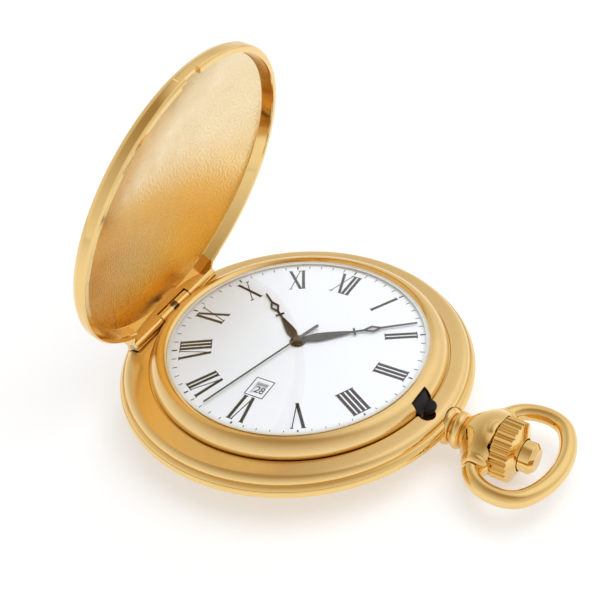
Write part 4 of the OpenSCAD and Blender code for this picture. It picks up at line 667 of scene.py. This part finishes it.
# ---------------------------------------------------------------- crown
# The fluted winding crown, gold plated, with a pale polished chamfer that the flutes scallop, and a bore for the
# button.
FLUTES, PER = 27, 24                     # flutes round the crown, and points to each
FLUTE_HALF, FLUTE_DEPTH = 0.41, 0.24     # half a flute's share of its pitch, and its depth
CROWN_R, CROWN_Z = 4.02, 30.75           # radius where the fluted side starts, and its distance out
outline = ([(3.7, 30.5), (3.87, 30.53), (3.98, 30.62), (CROWN_R, CROWN_Z)]
           + [(CROWN_R - 0.06 * i / 10, CROWN_Z + 2.15 * i / 10) for i in range(1, 11)]    # the side
           + [(3.96 - 1.72 * i / 24, 32.9 + 0.75 * i / 24) for i in range(1, 25)])         # the chamfer
inner_side = [(2.2, 33.65), (2.2, 31.25), (1.14, 31.25), (1.14, 26.7), (1.66, 26.7), (1.66, CROWN_Z), (3.2, CROWN_Z),
              (3.2, 30.5)]


def fluted_ring(radius, at):
    """A ring of the crown's outside, cut in by the flutes where it reaches them."""
    ring = []
    for k in range(FLUTES * PER):
        u = (k / PER + 0.5) % 1 - 0.5
        depth = FLUTE_DEPTH / 2 * (1 + math.cos(math.pi * u / FLUTE_HALF)) if abs(u) < FLUTE_HALF else 0
        r = min(radius, CROWN_R - 0.028 * (at - CROWN_Z) - depth)
        a = 2 * math.pi * k / (FLUTES * PER)
        ring.append((r * math.cos(a), r * math.sin(a), at))
    return ring


crown_mesh = skinned([fluted_ring(r, z) for r, z in outline] + [circle(r, z, FLUTES * PER) for r, z in inner_side],
                     LINE)
# Painted shade: the fluted side, which faces sideways, is given a gold a shade deeper than the chamfer's
flute_shaded_gold = gold_plate("gold_plate_flutes_painted_shade", "edc478", "e2b263", 0.16, 0.03, 0.2, 0.04)


def on_flutes(at, way):
    """True on faces that look sideways from the crown's axis."""
    return abs((PENDANT.inverted().to_3x3() @ way).x) < 0.3


dress("crown_fluted", crown_mesh, "crown", "gold_polished", polished_gold, (flute_shaded_gold, on_flutes),
      replaces=["crown"], sharp=30)

# ---------------------------------------------------------------- push button
# The button in the crown that lets the lid spring open: a gold-plated cap with a chamfer, on a long sleeve round
# the stem. The cross pin runs through a slot in the sleeve, so the button slides on the crown.
BUTTON_START, BUTTON_END = 20.1, 35.55
SLEEVE_BORE = 0.72
button_profile = rounded([(SLEEVE_BORE, BUTTON_START, 0), (1.1, BUTTON_START, 0.05), (1.1, 31.9, 0), (2.05, 31.9, 0.03),
                          (2.05, 35.05, 0.12), (1.5, BUTTON_END, 0.1), (0, BUTTON_END, 0)], 4)
button_mesh = combine(turned([(0, BUTTON_START)] + button_profile, 160, LINE), [
    ("DIFFERENCE", rod(SLEEVE_BORE, 19.1, 33.9, 64, LINE)),
    ("DIFFERENCE", block((30.26, -3, 4.08), (32.14, 3, 4.72), PENDANT))])
dress("push_button_cap", button_mesh, "button", "gold_polished", polished_gold, replaces=["push_button"])

# ---------------------------------------------------------------- catch, lift spring and hinge pin
# Hardened steel: the catch and the lift spring are blued almost black, the hinge pin and screws are bright.
# The catch's steep front ends in a rounded nose that hooks into the lid.
CATCH_Y = (-2.95, 0.2)
NOSE_X, NOSE_Y, NOSE_R = 20.8, -0.95, 1.15
catch_outline = [(19.55, 4.34), (20.05, 4.34), (20.05, 7.0), (20.95, 7.0), (20.95, 7.72), (20.35, 7.86), (19.98, 8.62),
                 (19.82, 8.95), (19.55, 8.95)]
nose_profile = rounded([(0, 7.12, 0), (NOSE_R, 7.12, 0.15), (NOSE_R, 7.78, 0.25), (0, 7.92, 0)], 6)
catch_mesh = combine(skinned([[(x, y, z) for x, z in catch_outline] for y in CATCH_Y], PENDANT, True, eased=0.07), [
    ("UNION", turned(nose_profile, 96, PENDANT @ Matrix.Translation((NOSE_X, NOSE_Y, 0)))),
    ("DIFFERENCE", rod(1.25, 18, 22, 64, LINE)),                     # the hole for the stem and the button's sleeve
])


def bare_metal(name, light, dark, rough, grain_mm, stretch, depth):
    """A worked metal: two near tones in clouds, drawn or ground lines in one direction, and a gloss that wanders
    with them."""
    cloud_mm = 1.8
    made, tree = material(name)
    place = add(tree, "TexCoord").outputs["Object"]
    lines = add(tree, "Mapping", {"Vector": place, "Scale": stretch})
    grain = add(tree, "TexNoise", {"Vector": lines.outputs[0], "Scale": 1 / (grain_mm * MM), "Detail": 3.0})
    cloud = add(tree, "TexNoise", {"Vector": place, "Scale": 1 / (cloud_mm * MM), "Detail": 3.0})
    tone = add(tree, "Mix", {FACTOR: cloud.outputs["Fac"], COLOUR_A: linear(light), COLOUR_B: linear(dark)},
               data_type="RGBA")
    sheen = add(tree, "MapRange", {"Value": grain.outputs["Fac"], "From Min": NOISE_LOW, "From Max": NOISE_HIGH,
                                   "To Min": rough * 0.75, "To Max": rough * 1.3})
    bump = add(tree, "Bump", {"Height": grain.outputs["Fac"], "Strength": depth, "Distance": GRAIN_HEIGHT * MM})
    skin = add(tree, "BsdfPrincipled", {"Base Color": tone.outputs[BLENDED], "Metallic": 1.0,
                                        "Roughness": sheen.outputs[0], "Normal": bump.outputs[0]})
    add(tree, "OutputMaterial", {"Surface": skin.outputs[0]})
    return made


# Blued steel, almost black, with faint lines from the stone
black_steel = bare_metal("steel_blackened", "3b373a", "1d1a1e", 0.24, 0.25, (1, 3, 1), 0.3)
finish(["lift_spring"], black_steel)
dress("lid_catch_hook", catch_mesh, "catch", "black_steel", black_steel, replaces=["lid_catch"], sharp=35)
# Ground steel: bright, with fine lines in one direction
bright_steel = bare_metal("steel_ground", "c3c5c9", "a9abb0", 0.26, 0.2, (1, 6, 1), 0.25)
finish(["hinge_pin", "spring_screws", "bridge_screws", "casing_screws", "winding_stem", "cross_pin", "clutch_pinion",
        "crown_tube", "setting_lever", "setting_wheel", "coil_core", "stator", "date_plate", "date_jumper",
        "casing_clamps", "quartz_can"], bright_steel)

# ---------------------------------------------------------------- movement plates and wheels
# The quartz movement, hidden by the dial: nickel-plated brass plate, brass bridge and wheels, and the rotor's
# magnet.
finish(["main_plate", "battery"], bare_metal("brass_nickel_plated", "cfccc2", "b9b6ac", 0.3, 0.15, (1, 1, 1), 0.2))
finish(["train_bridge", "intermediate_wheel", "seconds_wheel", "third_wheel", "centre_wheel", "minute_wheel",
        "hour_wheel", "battery_clamp"], bare_metal("brass_turned", "dcb765", "c79f4e", 0.28, 0.12, (1, 1, 4), 0.25))
finish(["rotor"], bare_metal("magnet_samarium", "5c5c61", "46464b", 0.4, 0.1, (1, 1, 1), 0.35))

# ---------------------------------------------------------------- movement electronics
# The circuit board, the driver under its black resin, and the coil of fine enamelled copper wire.
finish(["circuit_board"], moulded("glass_epoxy_green", "2c7a45", "1f6336", 0.35, 0.15, 0.25))
finish(["driver_chip"], moulded("epoxy_resin_black", "1b1b1e", "101012", 0.45, 0.1, 0.3))
finish(["coil_winding"], bare_metal("copper_wire_enamelled", "c0703c", "9c5428", 0.3, 0.06, (1, 9, 1), 0.5))

# ---------------------------------------------------------------- studio
# A pale floor in a light tent, with a large soft lamp above and one behind on the left. The lamps light the dial
# and the floor; the metal mirrors the tent.
FLOOR_HALF = 1.6                         # m
FLOOR_GLOW = 0.44                        # what brings the floor up to the photo's white where it is seen or mirrored
bm = bmesh.new()
bmesh.ops.create_grid(bm, x_segments=8, y_segments=8, size=FLOOR_HALF)
floor = in_scene("studio_floor", mesh_from(bm, Matrix()))
# White paper with a faint fibre
paper, tree = material("floor_white_paper")
place = add(tree, "TexCoord").outputs["Object"]
fibre = add(tree, "TexNoise", {"Vector": place, "Scale": 1 / (1.5 * MM), "Detail": 2.0})
tone = add(tree, "Mix", {FACTOR: fibre.outputs["Fac"], COLOUR_A: linear("d8d9da"), COLOUR_B: linear("d4d5d6")},
           data_type="RGBA")
matt = add(tree, "BsdfDiffuse", {"Color": tone.outputs[BLENDED]})
path_info = add(tree, "LightPath")
seen = add(tree, "Math", {0: path_info.outputs["Is Camera Ray"], 1: path_info.outputs["Is Glossy Ray"]},
           operation="MAXIMUM")
seen = add(tree, "Math", {0: seen.outputs[0], 1: path_info.outputs["Is Transmission Ray"]}, operation="MAXIMUM")
lift = add(tree, "Math", {0: seen.outputs[0], 1: FLOOR_GLOW}, operation="MULTIPLY")
glow = add(tree, "Emission", {"Color": linear("ffffff"), "Strength": lift.outputs[0]})
both = add(tree, "AddShader", {0: matt.outputs[0], 1: glow.outputs[0]})
add(tree, "OutputMaterial", {"Surface": both.outputs[0]})
floor.data.materials.append(paper)

world = bpy.data.worlds.new("light_tent")
bpy.context.scene.world = world
world.use_nodes = True
tree = world.node_tree
tree.nodes.clear()
way = add(tree, "TexCoord").outputs["Generated"]
parts = add(tree, "SeparateXYZ", {0: way})
# What the metal mirrors: white cloth low down, dimmer and warmer towards the top, where the cloth ends
cloth = add(tree, "ValToRGB", {0: parts.outputs[2]})
ramp = cloth.color_ramp.elements
ramp[0].position, ramp[0].color = 0.0, linear("fbfbfb")
ramp[1].position, ramp[1].color = 1.0, linear("ad9670")
for height, code in ((0.4, "e6e2dc"), (0.7, "d2cabb")):
    ramp.new(height).color = linear(code)
# A bright soft window of light at the back on the right
WINDOW_WAY, WINDOW_LIGHT = (0.33, 0.55, 0.77), (1.06, 1.05, 1.03, 1.0)
facing = add(tree, "VectorMath", {0: way, 1: WINDOW_WAY}, operation="DOT_PRODUCT")
window = add(tree, "MapRange", {"Value": facing.outputs["Value"], "From Min": 0.72, "From Max": 0.97},
             interpolation_type="SMOOTHSTEP")
lit = add(tree, "Mix", {FACTOR: window.outputs[0], COLOUR_A: cloth.outputs[0], COLOUR_B: WINDOW_LIGHT},
          data_type="RGBA")
seen_by = add(tree, "LightPath")
mirror = add(tree, "Math", {0: seen_by.outputs["Is Glossy Ray"], 1: seen_by.outputs["Is Transmission Ray"]},
             operation="MAXIMUM")
colour = add(tree, "Mix", {FACTOR: mirror.outputs[0], COLOUR_A: linear("ffffff"), COLOUR_B: lit.outputs[BLENDED]},
             data_type="RGBA")
# White where it is seen straight on, the tent where it is mirrored, and half as bright where it only gives light
direct = add(tree, "Math", {0: seen_by.outputs["Is Camera Ray"], 1: mirror.outputs[0]}, operation="MAXIMUM")
TENT_LIGHT = 0.5
level = add(tree, "MapRange", {"Value": direct.outputs[0], "To Min": TENT_LIGHT, "To Max": 1.0})
sky = add(tree, "Background", {"Color": colour.outputs[BLENDED], "Strength": level.outputs[0]})
add(tree, "OutputWorld", {"Surface": sky.outputs[0]})


def soft_lamp(name, at, aim, size, brightness):
    """A square soft lamp of a given brightness, white being 1. No metal mirrors it."""
    lamp = bpy.data.lights.new(name, "AREA")
    lamp.shape, lamp.size = "SQUARE", size
    lamp.energy = brightness * math.pi * size * size
    hung = in_scene(name, lamp)
    hung.location = at
    hung.rotation_euler = (Vector(aim) - Vector(at)).to_track_quat("-Z", "Y").to_euler()
    hung.visible_glossy = False


soft_lamp("lamp_above", (0.13, 0.07, 0.42), (0, 0, 0), 0.4, 1.9)
soft_lamp("lamp_behind_left", (-0.24, 0.36, 0.34), (0, 0, 0.01), 0.35, 0.8)

# The camera stands where the photo was taken: 141 mm away, azimuth 33.7 and elevation 38.0 degrees, 6.1 of roll
CAMERA_AT = (0.060746, -0.089299, 0.100554)
RIGHT, UP, BACK = (0.86316, 0.49797, -0.0836), (-0.2518, 0.568, 0.78357), (0.43768, -0.65528, 0.61566)
camera_data = bpy.data.cameras.new("photo_view")
camera_data.lens, camera_data.sensor_width, camera_data.clip_start = 61.765, 36.0, 0.005
camera = in_scene("photo_view", camera_data)
camera.matrix_world = Matrix([(*row, 0) for row in (RIGHT, UP, BACK)] + [(*CAMERA_AT, 1)]).transposed()
bpy.context.scene.camera = camera
bpy.context.scene.view_settings.view_transform = "Standard"
